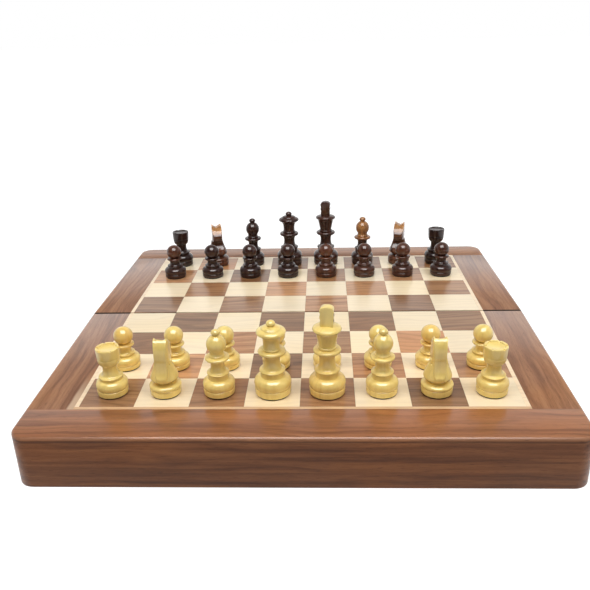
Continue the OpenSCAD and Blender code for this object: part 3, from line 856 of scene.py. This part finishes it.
def bow(cx, cz, rx, rz, start, end, steps=12):
    """Part of an ellipse round (cx, cz) between two angles in degrees."""
    angles = [math.radians(start + (end - start) * i / steps) for i in range(steps + 1)]
    return [(cx + rx * math.cos(a), cz + rz * math.sin(a)) for a in angles]


def waist(r1, z1, r2, z2, r3, z3):
    """A concave waist: in from r1 to r2 and out again to r3."""
    return bow(r1, z2, r1 - r2, z2 - z1, 270, 180) + bow(r3, z2, r3 - r2, z3 - z2, 180, 90)


def collar(r, z1, z2):
    """A round-edged ring."""
    half = (z2 - z1) / 2
    return bow(r - half, z1 + half, half, half, -90, 90, 8)


def foot(r, groove_at=0.46, top_at=1.08, neck=0.64):
    """The foot disc, the groove and the bulge under every man, in shares of the base radius."""
    z, lip, groove = man_sizes().felt, 0.05 * r, 0.085 * r
    low, top = groove_at * r, top_at * r
    belly = low + 0.42 * (top - low)
    return ([(0, z), (r - 2.4 * lip, z)] + bow(r - 1.6 * lip, z + lip, lip, lip, -80, 0, 4)
            + bow(r - 1.4 * lip, low - lip, lip, lip, 0, 75, 4) + [(r - 1.1 * groove, low)]
            + bow(r - groove, belly, groove, belly - low, -85, 0, 8)
            + bow(neck * r, belly, (1 - neck) * r, top - belly, 6, 90, 14))


def ring(r, wide, z1, z2, neck=0.64):
    """The neck above the bulge and the ring on it."""
    return [(neck * r - 0.0001, z1)] + collar(wide, z1, z2)


def man_sizes():
    return bpy.context.scene.chess_men


def king_outline(r, h):
    return (foot(r) + ring(r, 0.7 * r, 0.268 * h, 0.295 * h)
            + waist(0.58 * r, 0.298 * h, 0.42 * r, 0.41 * h, 0.6 * r, 0.482 * h)
            + collar(0.75 * r, 0.485 * h, 0.527 * h) + collar(0.51 * r, 0.53 * h, 0.555 * h)
            + [(0.46 * r, 0.572 * h), (0.47 * r, 0.585 * h), (0.49 * r, 0.60 * h),
               (0.52 * r, 0.63 * h), (0.55 * r, 0.66 * h), (0.60 * r, 0.70 * h),
               (0.66 * r, 0.722 * h), (0.72 * r, 0.732 * h), (0.77 * r, 0.739 * h),
               (0.78 * r, 0.746 * h)]
            + bow(0, 0.755 * h, 0.76 * r, 0.03 * h, 0, 90))


def queen_outline(r, h):
    return (foot(r) + ring(r, 0.7 * r, 0.316 * h, 0.346 * h)
            + waist(0.58 * r, 0.35 * h, 0.425 * r, 0.47 * h, 0.6 * r, 0.556 * h)
            + collar(0.74 * r, 0.561 * h, 0.608 * h) + collar(0.51 * r, 0.611 * h, 0.638 * h)
            + waist(0.46 * r, 0.642 * h, 0.44 * r, 0.70 * h, 0.54 * r, 0.79 * h)
            + [(0.60 * r, 0.812 * h), (0.69 * r, 0.826 * h), (0.77 * r, 0.836 * h),
               (0.79 * r, 0.847 * h)]
            + bow(0, 0.855 * h, 0.775 * r, 0.05 * h, 0, 45)
            + bow(0, 0.894 * h, 0.53 * r, 0.036 * h, 0, 60)
            + bow(0, 0.957 * h, 0.245 * r, 0.043 * h, -50, 90))


def bishop_outline(r, h):
    return (foot(r) + ring(r, 0.7 * r, 0.324 * h, 0.352 * h)
            + waist(0.58 * r, 0.356 * h, 0.42 * r, 0.46 * h, 0.58 * r, 0.54 * h)
            + collar(0.75 * r, 0.543 * h, 0.59 * h) + collar(0.5 * r, 0.593 * h, 0.613 * h)
            + bow(0.49 * r, 0.65 * h, 0.055 * r, 0.034 * h, -90, -180, 5)
            + bow(0, 0.775 * h, 0.605 * r, 0.148 * h, -42, 0)
            + bow(0, 0.775 * h, 0.605 * r, 0.145 * h, 6, 68)
            + bow(0, 0.953 * h, 0.285 * r, 0.047 * h, -50, 90))


def rook_outline(r, h):
    return (foot(r, 0.46, 1.06, 0.7) + ring(r, 0.76 * r, 0.378 * h, 0.404 * h, 0.7)
            + waist(0.62 * r, 0.411 * h, 0.445 * r, 0.56 * h, 0.48 * r, 0.635 * h)
            + bow(0.46 * r, 0.785 * h, 0.24 * r, 0.15 * h, -75, 0, 7)
            + [(0.68 * r, 0.795 * h), (0.712 * r, 0.805 * h), (0.735 * r, 0.97 * h),
               (0.728 * r, 0.99 * h), (0.71 * r, h), (0.57 * r, h), (0.55 * r, 0.993 * h),
               (0.53 * r, 0.978 * h), (0.51 * r, 0.975 * h), (0, 0.975 * h)])


def pawn_outline(r, h):
    return (foot(r, 0.4, 0.98) + ring(r, 0.69 * r, 0.355 * h, 0.388 * h)
            + waist(0.57 * r, 0.392 * h, 0.45 * r, 0.47 * h, 0.53 * r, 0.548 * h)
            + collar(0.69 * r, 0.553 * h, 0.607 * h)
            + bow(0, 0.79 * h, 0.675 * r, 0.21 * h, -62, 90, 24))


def knight_foot_outline(r):
    return foot(r, 0.49, 0.82) + [(0, 0.82 * r)]


# The men that are turned and nothing more
OUTLINES = {"queen": queen_outline, "bishop": bishop_outline, "pawn": pawn_outline}
# Half of the king's cross, and the knight's skirt, its side, its front and its head from
# above, as shares of the base radius and of the height
CROSS = ((0.33, 0.775), (0.355, 0.80), (0.36, 0.825), (0.33, 0.85), (0.365, 0.872), (0.37, 0.89),
         (0.34, 0.92), (0.375, 0.938), (0.38, 0.955), (0.345, 0.975), (0.26, 0.99), (0.13, 0.998))
KNIGHT_SKIRT = (
    (0, 0.15), (0.5, 0.15), (0.57, 0.222), (0.85, 0.285), (0.875, 0.30), (0.875, 0.32),
    (0.83, 0.36), (0.70, 0.44), (0.585, 0.525), (0.52, 0.60), (0, 0.60))
KNIGHT_SIDE = (
    (-1.1, 0.1), (-1.1, 0.33), (-0.90, 0.355), (-0.80, 0.40), (-0.73, 0.46), (-0.69, 0.53),
    (-0.675, 0.61), (-0.685, 0.69), (-0.68, 0.77), (-0.63, 0.845), (-0.54, 0.905),
    (-0.42, 0.95), (-0.30, 0.975), (-0.18, 0.98), (-0.12, 1.00), (-0.03, 0.965), (0.12, 0.93),
    (0.36, 0.89), (0.58, 0.84), (0.76, 0.78), (0.86, 0.735), (0.88, 0.69), (0.83, 0.645),
    (0.72, 0.61), (0.55, 0.60), (0.40, 0.608), (0.30, 0.595), (0.24, 0.555), (0.28, 0.50),
    (0.42, 0.435), (0.62, 0.385), (0.90, 0.345), (1.1, 0.34), (1.1, 0.1))
KNIGHT_FRONT = (
    (0.70, 0.30), (0.64, 0.42), (0.56, 0.51), (0.50, 0.59), (0.46, 0.67), (0.445, 0.75),
    (0.44, 0.84), (0.455, 0.91), (0.44, 0.955), (0.38, 1.00), (0.24, 0.94))
KNIGHT_PLAN = (
    (0.25, -0.90), (0.33, -0.84), (0.375, -0.72), (0.40, -0.50), (0.44, -0.20), (0.47, 0.15),
    (0.45, 0.50), (0.40, 0.76), (0.30, 0.90))
CROSS_THICKNESS = 0.48
# Size and middle of the light knights' crest
CREST = ((0.6, 0.5, 0.47), (-0.45, 0.735))
EYE, NOSTRIL = (0.24, 0.835), (0.74, 0.725)
# Thickness of the cutters that are sunk into a flank
CUTTER = 0.001
# Knife lines on both flanks: mane and cheek, mouth, and the locks of the mane
MANE_LINE = ((-0.16, 0.93), (-0.28, 0.87), (-0.36, 0.79), (-0.38, 0.70), (-0.35, 0.61),
             (-0.31, 0.53))
MOUTH_LINE = ((0.95, 0.655), (0.74, 0.665), (0.58, 0.685))
MANE_LOCKS = ((-0.54, 0.54), (-0.55, 0.63), (-0.56, 0.72), (-0.53, 0.80), (-0.44, 0.875))


def stretched(shares, r, h):
    """An outline in metres from one in shares of the radius and the height."""
    return [(x * r, z * h) for x, z in shares]


def both_sides(half, middle=()):
    """A closed outline from its right half, mirrored at the upright axis."""
    return list(half) + list(middle) + [(-x, z) for x, z in reversed(half)]


def king_form(r, h):
    body = turned("king_form", king_outline(r, h))
    cross = sawn("king_cross", both_sides(stretched(CROSS, r, h), [(0, h)]),
                 CROSS_THICKNESS * r)
    bevelled(cross, 0.00035, 3, 50)
    cut(body, cross, "UNION")
    return body


def rook_form(r, h):
    """A rook with shallow sawn notches across its rim."""
    body = turned("rook_form", rook_outline(r, h))
    for i in range(3):
        cut(body, bar("notch", (2 * r, 0.11 * r, 0.034 * h), (0, 0, h),
                      (0, 0, math.radians(60 * i))))
    return body


def upright(piece):
    """Stands a plate that was sawn to a side view along the knight's own length."""
    place(piece, Matrix.Rotation(math.pi / 2, 4, "Z"))
    tidy_mesh(piece)
    return piece


def between(pairs, at):
    """Reads a line of (at, value) pairs that are in rising order."""
    for (low, first), (high, second) in zip(pairs, pairs[1:]):
        if at <= high:
            return first + (second - first) * max(at - low, 0.0) / (high - low)
    return pairs[-1][1]


def flank(u, v):
    """Half the knight's width at a place in its side view, as a share of the base radius."""
    slab = min(between([(z, x) for x, z in KNIGHT_FRONT], v),
               between([(y, x) for x, y in KNIGHT_PLAN], u))
    skirt = between([(z, x) for x, z in KNIGHT_SKIRT[2:-1]], v) if v < 0.6 else 0.0
    return max(slab, math.sqrt(max(skirt * skirt - u * u, 0.0)))


def softened(points):
    """Cuts the corners off a closed outline."""
    out = []
    for i, point in enumerate(points):
        after = points[(i + 1) % len(points)]
        out += [tuple(0.8 * a + 0.2 * b for a, b in zip(point, after)),
                tuple(0.2 * a + 0.8 * b for a, b in zip(point, after))]
    return out


def knife_line(head, points, width, depth, r, h):
    """Cuts a line of short strokes into both flanks of the knight's head."""
    for (u1, v1), (u2, v2) in zip(points, points[1:]):
        along_y, along_z = (u2 - u1) * r, (v2 - v1) * h
        middle_u, middle_v = (u1 + u2) / 2, (v1 + v2) / 2
        out = flank(middle_u, middle_v) * r - depth + CUTTER / 2
        for side in (-1, 1):
            cut(head, bar("stroke", (CUTTER, math.hypot(along_y, along_z) + 0.6 * width, width),
                          (side * out, middle_u * r, middle_v * h),
                          (math.atan2(along_z, along_y), 0, 0)))


def drilled(head, at, radius, depth, r, h):
    """Drills a shallow hole into both flanks of the knight's head."""
    u, v = at
    for side in (-1, 1):
        out = side * (flank(u, v) * r - depth + CUTTER / 2)
        cut(head, slug("point", 24, radius, CUTTER, (out, u * r, v * h), (0, math.pi / 2, 0)))


def knight_form(r, h, crest):
    """A carved horse's head: sawn to its views, cut with knife and drill, then sanded."""
    head = sawn("knight_form", both_sides(stretched(KNIGHT_FRONT, r, h), [(0, 0.91 * h)]), 2 * r)
    plan = sawn("knight_plan", both_sides(stretched(KNIGHT_PLAN, r, r)), 2.2 * h)
    place(plan, Matrix.Rotation(-math.pi / 2, 4, "X"))
    tidy_mesh(plan)
    cut(head, plan, "INTERSECT")
    cut(head, turned("knight_skirt", stretched(KNIGHT_SKIRT, r, h)), "UNION")
    if crest:
        (wide, deep, tall), (y, z) = CREST
        cut(head, bar("crest", (wide * r, deep * r, tall * h), (0, y * r, z * h)), "UNION")
    side = softened(stretched(KNIGHT_SIDE, r, h))
    cut(head, upright(sawn("knight_side", side, 2.2 * r)), "INTERSECT")
    knife_line(head, MANE_LINE, width=0.0005, depth=0.00035, r=r, h=h)
    knife_line(head, MOUTH_LINE, width=0.00045, depth=0.0004, r=r, h=h)
    for u, v in MANE_LOCKS:
        knife_line(head, ((u - 0.11, v - 0.05), (u + 0.02, v + 0.01), (u + 0.11, v + 0.05)),
                   width=0.0004, depth=0.0003, r=r, h=h)
    drilled(head, EYE, radius=0.0006, depth=0.00035, r=r, h=h)
    drilled(head, NOSTRIL, radius=0.0004, depth=0.0003, r=r, h=h)
    apply_modifier(head, "REMESH", mode="VOXEL", voxel_size=0.00018, adaptivity=0.0)
    apply_modifier(head, "SMOOTH", factor=0.5, iterations=4)
    base = turned("knight_foot", knight_foot_outline(r))
    return joined(base, head)


def man_form(kind, r, h, crest):
    """One man of a kind on the origin, all of wood."""
    if kind in OUTLINES:
        return turned(kind + "_form", OUTLINES[kind](r, h))
    if kind == "knight":
        return knight_form(r, h, crest)
    return king_form(r, h) if kind == "king" else rook_form(r, h)


def shared_material(name, make):
    """The material of this name, made the first time that it is wanted."""
    return bpy.data.materials.get(name) or make()


def felt_disc(r):
    """The felt under a man, with its cut edge a little soft."""
    hair = 0.00003
    thickness = man_sizes().felt - hair
    disc = slug("felt", 48, 0.9 * r, thickness, (0, 0, thickness / 2))
    bevelled(disc, 0.00012, 2, 50)
    return disc


def paint_tone(piece, node, height):
    """Writes how pale the wood is, from foot to head, into the piece's own attribute."""
    low, high = TONES.get(node, PLAIN_TONE)
    start, rise = KNIGHT_TONE_RISE if "knight" in node else TONE_RISE
    tone = piece.data.attributes.new("tone", "FLOAT", "POINT")
    for vertex, value in zip(piece.data.vertices, tone.data):
        up = min(max((vertex.co.z / height - start) / rise, 0.0), 1.0)
        value.value = low + (high - low) * up * up * (3 - 2 * up)


def set_out(kind):
    """Makes one man of a kind and sets out a copy on each of its squares, in both woods."""
    sizes = man_sizes()
    r, h = getattr(sizes, kind + "_base") / 2, getattr(sizes, kind + "_height")
    light = shared_material("Polished boxwood", light_man_wood)
    dark = shared_material("Polished dark rosewood", dark_man_wood)
    felt = shared_material("Felt", lambda: pile_cloth("Felt", (0.010, 0.014, 0.012),
                                                      (0.035, 0.045, 0.038), 0.0001))
    made = 0
    for colour_name, home, way in (("white", 0, 1), ("black", 7, -1)):
        if way > 0 or kind == "knight":
            pattern = man_form(kind, r, h, crest=way > 0)
            dress(pattern, light)
            disc = felt_disc(r)
            dress(disc, felt)
            pattern = joined(pattern, disc)
            smooth(pattern)
        rank = home + way * (kind == "pawn")
        for column, letter in enumerate(FILES):
            if kind != "pawn" and OFFICERS[column] != kind:
                continue
            node = f"{colour_name}_{kind}" + ("" if kind in ("king", "queen") else "_" + letter)
            made_how = "carved_" if kind == "knight" else "turned_"
            piece = copied(pattern.data, made_how + node)
            piece.data.materials[0] = light if way > 0 else dark
            paint_tone(piece, node, h)
            turn = 0.0 if way > 0 else math.pi
            if kind == "knight":
                own_turn = sizes.light_knight_turn if way > 0 else sizes.dark_knight_turn
                turn += (-way if column < 4 else way) * own_turn
            elif kind == "king":
                turn -= sizes.king_turn
            square = board().square
            on_square = Matrix.Translation(((column - 3.5) * square, (rank - 3.5) * square,
                                            surface_height()))
            place(piece, let_down(way) @ on_square @ Matrix.Rotation(turn, 4, "Z"))
            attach(piece, node)
            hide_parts(node)
            made += 1
        if kind == "knight" or way < 0:
            bpy.data.objects.remove(pattern)
    if not made:
        raise RuntimeError("no square of the board takes a " + kind)
    return {"FINISHED"}


# ---------- operators ----------

class ChessStep(bpy.types.Operator):
    """What the steps of the build have in common."""
    bl_options = {"REGISTER", "UNDO"}


class CHESSBOX_OT_studio(ChessStep):
    """Sets up the white floor, the lamps, the room's light and the camera"""
    bl_idname = "chessbox.studio"
    bl_label = "Studio"

    def execute(self, context):
        studio = context.scene.chess_studio
        clear_selection()
        bpy.ops.mesh.primitive_plane_add(size=8)
        floor = bpy.context.object
        floor.name = "studio_floor"
        dress(floor, self.paper())
        self.lamp("overhead_softbox", studio.key_light, (0.02, -0.27, 0.95), (16, 0, 0),
                  1.8, 0.28).visible_glossy = False
        self.lamp("gloss_softbox", studio.gloss_light, (0.02, -0.36, 0.90), (20, 0, 0),
                  0.8, 0.7).visible_diffuse = False
        self.lamp("side_softbox", studio.side_light, (0.85, -0.15, 0.5), (0, 60, -10), 0.6, 0.5)
        self.room(studio.room_light)
        bpy.ops.object.camera_add(location=studio.place, rotation=studio.turn)
        camera = bpy.context.object
        camera.name = "photograph_camera"
        camera.data.lens = studio.lens
        camera.data.sensor_width, camera.data.clip_start = 36, 0.01
        context.scene.camera = camera
        context.scene.view_settings.view_transform = "Standard"
        return {"FINISHED"}

    def lamp(self, name, power, location, tilt, width, depth):
        """A rectangular softbox, tilted by degrees from straight down."""
        bpy.ops.object.light_add(type="AREA", location=location,
                                 rotation=[math.radians(angle) for angle in tilt])
        lamp = bpy.context.object
        lamp.name = name
        lamp.data.shape = "RECTANGLE"
        lamp.data.size, lamp.data.size_y = width, depth
        lamp.data.energy = power
        return lamp

    def paper(self):
        """White paper that stays white to the camera and keeps a faint shadow."""
        material = bpy.data.materials.new("White paper")
        material.use_nodes = True
        tree = material.node_tree
        shader = tree.nodes["Principled BSDF"]
        clouds = noise(tree, add(tree, "ShaderNodeTexCoord").outputs["Object"], (3, 3, 3), 2)
        wire(tree, shader, Base_Color=mixed(tree, clouds, [0.33] * 3, [0.35] * 3),
             Roughness=1.0, Specular_IOR_Level=0.0)
        path = add(tree, "ShaderNodeLightPath").outputs
        seen = calc(tree, "MAXIMUM", path["Is Camera Ray"],
                    calc(tree, "MAXIMUM", path["Is Glossy Ray"], path["Is Transmission Ray"]))
        white_level = 0.86
        glow = add(tree, "ShaderNodeEmission",
                   (("Color", (1, 1, 1)), ("Strength", calc(tree, "MULTIPLY", seen, white_level))))
        both = add(tree, "ShaderNodeAddShader", ((0, shader.outputs[0]), (1, glow.outputs[0])))
        tree.links.new(both.outputs[0], tree.nodes["Material Output"].inputs["Surface"])
        return material

    def room(self, ambient):
        """White all round for the camera, dimmer in mirrors on the camera's side."""
        world = bpy.data.worlds.new("Studio room")
        bpy.context.scene.world = world
        world.use_nodes = True
        tree = world.node_tree
        way = axes(tree, add(tree, "ShaderNodeTexCoord").outputs["Generated"])
        mirror = calc(tree, "MULTIPLY", span(tree, way[1], -0.5, 0.2, 0.06, 1.0),
                      span(tree, way[2], 0.44, 0.56, 1.0, 0.4))
        sky = calc(tree, "MULTIPLY", span(tree, way[2], -0.2, 0.7, 0.3, 1.0), ambient)
        path = add(tree, "ShaderNodeLightPath").outputs
        shiny = calc(tree, "MAXIMUM", path["Is Glossy Ray"], path["Is Transmission Ray"])
        level_of = add(tree, "ShaderNodeMix", ((0, shiny), (2, sky), (3, mirror)),
                       data_type="FLOAT").outputs[0]
        level_of = add(tree, "ShaderNodeMix", ((0, path["Is Camera Ray"]), (2, level_of),
                                               (3, 1.0)), data_type="FLOAT").outputs[0]
        back = tree.nodes["Background"]
        back.inputs["Color"].default_value = (1, 1, 1, 1)
        tree.links.new(level_of, back.inputs["Strength"])


class CHESSBOX_OT_rails(ChessStep):
    """Eases the rails' arrises and gives each rail its own length of lacquered rosewood"""
    bl_idname = "chessbox.rails"
    bl_label = "Rails"

    def execute(self, context):
        for node, half, axis, shift in (
                ("front_rail", "base", "X", (0.31, 0.02, 0.0)),
                ("base_left_rail", "base", "Y", (1.7, 0.4, 0.2)),
                ("base_right_rail", "base", "Y", (2.9, 0.9, 0.5)),
                ("base_hinge_rail", "base", "X", (4.3, 1.2, 0.1)),
                ("rear_rail", "lid", "X", (5.2, 1.9, 0.6)),
                ("lid_left_rail", "lid", "Y", (6.6, 2.3, 0.3)),
                ("lid_right_rail", "lid", "Y", (7.8, 2.7, 0.8)),
                ("lid_hinge_rail", "lid", "X", (9.1, 3.1, 0.9))):
            # The front rail gets painted shade on its top as well as on its sides
            painted_shade, gloss = (FRONT_PAINTED_SHADE, 0.6) if node == "front_rail" else (PLAIN_PAINTED_SHADE, 1.0)
            timber = rail_wood("Rosewood of " + node.replace("_", " "), HALVES[half], axis, shift,
                               painted_shade, gloss, sapwood=node == "base_left_rail")
            eased(node, "eased_" + node, board().arris, half, timber)
        return {"FINISHED"}


class CHESSBOX_OT_squares(ChessStep):
    """Gives the squares and the stringing their veneers"""
    bl_idname = "chessbox.squares"
    bl_label = "Squares and stringing"

    def execute(self, context):
        for half, side in HALVES.items():
            dress(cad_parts[half + "_dark_squares"], dark_veneer(side))
            dress(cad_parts[half + "_light_squares"], light_veneer(side))
            dress(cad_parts[half + "_stringing"], stringing_wood(side))
        return {"FINISHED"}


class CHESSBOX_OT_deck(ChessStep):
    """Gives the plywood decks and the steel sheets under the squares their finish"""
    bl_idname = "chessbox.deck"
    bl_label = "Decks"

    def execute(self, context):
        steel = metal("Rolled steel", (0.52, 0.53, 0.55), (0.36, 0.36, 0.37), 0.42)
        for half, side in HALVES.items():
            dress(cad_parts[half + "_deck_panel"], plywood(side))
            dress(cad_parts[half + "_steel_sheet"], steel)
        return {"FINISHED"}


class CHESSBOX_OT_trays(ChessStep):
    """Rounds the edges of the foam trays and covers them with flock"""
    bl_idname = "chessbox.trays"
    bl_label = "Trays for the men"

    def execute(self, context):
        flock = pile_cloth("Black flock", (0.008, 0.008, 0.010), (0.040, 0.040, 0.046), 0.00016)
        for half in HALVES:
            tray = eased(half + "_foam_insert", half + "_flocked_tray", board().insert_edge, half,
                         flock, segments=3)
        return {"FINISHED"}


class CHESSBOX_OT_hinges(ChessStep):
    """Finishes the brass hinges, their pins and their slotted screws"""
    bl_idname = "chessbox.hinges"
    bl_label = "Hinges"

    def execute(self, context):
        brass = metal("Drawn brass", (0.86, 0.62, 0.27), (0.55, 0.36, 0.15), 0.24)
        pin = metal("Steel pin", (0.62, 0.62, 0.63), (0.42, 0.41, 0.40), 0.28)
        for half in HALVES:
            eased(half + "_hinge_leaves", half + "_brass_leaves", 0.00012, half, brass)
        eased("hinge_pins", "steel_hinge_pins", 0.00015, "base", pin)
        for half, side in HALVES.items():
            self.screws(half, side, brass)
        return {"FINISHED"}

    def screws(self, half, side, brass):
        """Six countersunk screws with a driver slot, on the half's seam face."""
        radius, shank, sink, length_in, tip = 0.0018, 0.0009, 0.0008, 0.007, 0.0015
        turns, flat, slot_width = 9, 0.0002, 0.00045
        outline = [(0, 0), (radius - 0.00015, 0), (radius - 0.00004, 0.00004), (radius, 0.00015),
                   (shank, sink)]
        for i in range(turns):
            at = sink + 3 * flat + i * (length_in - tip - sink - 4 * flat) / turns
            outline += [(shank * 0.98, at), (shank * 0.78, at + flat),
                        (shank * 0.98, at + 2 * flat)]
        outline += [(shank * 0.2, length_in), (0, length_in)]
        pattern = turned("screw_pattern", outline, 32)
        cut(pattern, bar("driver_slot", (2.4 * radius, slot_width, 0.0011), (0, 0, 0)))
        smooth(pattern, 35)
        dress(pattern, brass)
        low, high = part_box(half + "_hinge_screws")
        pitch, above_barrel = 0.01024, 0.0072
        hinge_middle = (high.x - low.x - 2 * pitch - 2 * radius) / 2
        height = board().knuckle + board().seam / 2 + above_barrel
        made = []
        for x in [hinge * hinge_middle + i * pitch for hinge in (-1, 1) for i in (-1, 0, 1)]:
            screw = copied(pattern.data, f"{half}_screw_{len(made)}")
            slot_turn = Matrix.Rotation(0.5 + 0.9 * len(made) + side, 4, "Z")
            into = Matrix.Rotation(side * math.pi / 2, 4, "X")
            at = Matrix.Translation((x, side * -board().seam / 2, height))
            place(screw, let_down(side) @ at @ into @ slot_turn)
            made.append(screw)
        bpy.data.objects.remove(pattern)
        screws = joined(*made)
        screws.name = half + "_slotted_screws"
        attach(screws, half)
        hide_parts(half + "_hinge_screws")


class CHESSBOX_OT_catches(ChessStep):
    """Rounds the edges of the nickel-plated magnets in the rims"""
    bl_idname = "chessbox.catches"
    bl_label = "Closing magnets"

    def execute(self, context):
        nickel = metal("Nickel plate", (0.78, 0.77, 0.75), (0.62, 0.61, 0.60), 0.16)
        for half in HALVES:
            eased(half + "_closing_magnets", half + "_plated_magnets", 0.0002, half,
                  nickel, segments=3)
        return {"FINISHED"}


class CHESSBOX_OT_kings(ChessStep):
    """Turns the kings and their sawn crosses and sets them out"""
    bl_idname = "chessbox.kings"
    bl_label = "Kings"

    def execute(self, context):
        return set_out("king")


class CHESSBOX_OT_queens(ChessStep):
    """Turns the queens and sets them out"""
    bl_idname = "chessbox.queens"
    bl_label = "Queens"

    def execute(self, context):
        return set_out("queen")


class CHESSBOX_OT_bishops(ChessStep):
    """Turns the bishops and sets them out"""
    bl_idname = "chessbox.bishops"
    bl_label = "Bishops"

    def execute(self, context):
        return set_out("bishop")


class CHESSBOX_OT_knights(ChessStep):
    """Carves the knights and sets them out"""
    bl_idname = "chessbox.knights"
    bl_label = "Knights"

    def execute(self, context):
        return set_out("knight")


class CHESSBOX_OT_rooks(ChessStep):
    """Turns and notches the rooks and sets them out"""
    bl_idname = "chessbox.rooks"
    bl_label = "Rooks"

    def execute(self, context):
        return set_out("rook")


class CHESSBOX_OT_pawns(ChessStep):
    """Turns the pawns and sets them out"""
    bl_idname = "chessbox.pawns"
    bl_label = "Pawns"

    def execute(self, context):
        return set_out("pawn")


STEPS = (CHESSBOX_OT_studio, CHESSBOX_OT_rails, CHESSBOX_OT_squares, CHESSBOX_OT_deck,
         CHESSBOX_OT_trays, CHESSBOX_OT_hinges, CHESSBOX_OT_catches, CHESSBOX_OT_kings,
         CHESSBOX_OT_queens, CHESSBOX_OT_bishops, CHESSBOX_OT_knights, CHESSBOX_OT_rooks,
         CHESSBOX_OT_pawns)


class CHESSBOX_PT_panel(bpy.types.Panel):
    """Lists the steps of the build and the sizes, colours and light that they use"""
    bl_idname = "CHESSBOX_PT_panel"
    bl_label = "Chess box"
    bl_space_type = "VIEW_3D"
    bl_region_type = "UI"
    bl_category = "Chess box"

    def draw(self, context):
        for step in STEPS:
            self.layout.operator(step.bl_idname)
        for values in (context.scene.chess_board, context.scene.chess_men,
                       context.scene.chess_finish, context.scene.chess_studio):
            box = self.layout.box()
            for name in values.__annotations__:
                box.prop(values, name)


GROUPS = (("chess_board", ChessBoardSizes), ("chess_men", ChessManSizes),
          ("chess_finish", ChessFinish), ("chess_studio", ChessStudio))


def register():
    for name, group_class in GROUPS:
        bpy.utils.register_class(group_class)
        setattr(bpy.types.Scene, name, bpy.props.PointerProperty(type=group_class))
    for step in STEPS:
        bpy.utils.register_class(step)
    bpy.utils.register_class(CHESSBOX_PT_panel)


def unregister():
    bpy.utils.unregister_class(CHESSBOX_PT_panel)
    for step in reversed(STEPS):
        bpy.utils.unregister_class(step)
    for name, group_class in reversed(GROUPS):
        delattr(bpy.types.Scene, name)
        bpy.utils.unregister_class(group_class)


def main():
    register()
    bpy.ops.chessbox.studio()
    bpy.ops.chessbox.rails()
    bpy.ops.chessbox.squares()
    bpy.ops.chessbox.deck()
    bpy.ops.chessbox.trays()
    bpy.ops.chessbox.hinges()
    bpy.ops.chessbox.catches()
    bpy.ops.chessbox.kings()
    bpy.ops.chessbox.queens()
    bpy.ops.chessbox.bishops()
    bpy.ops.chessbox.knights()
    bpy.ops.chessbox.rooks()
    bpy.ops.chessbox.pawns()
    clear_selection()


if __name__ == "__main__":
    main()
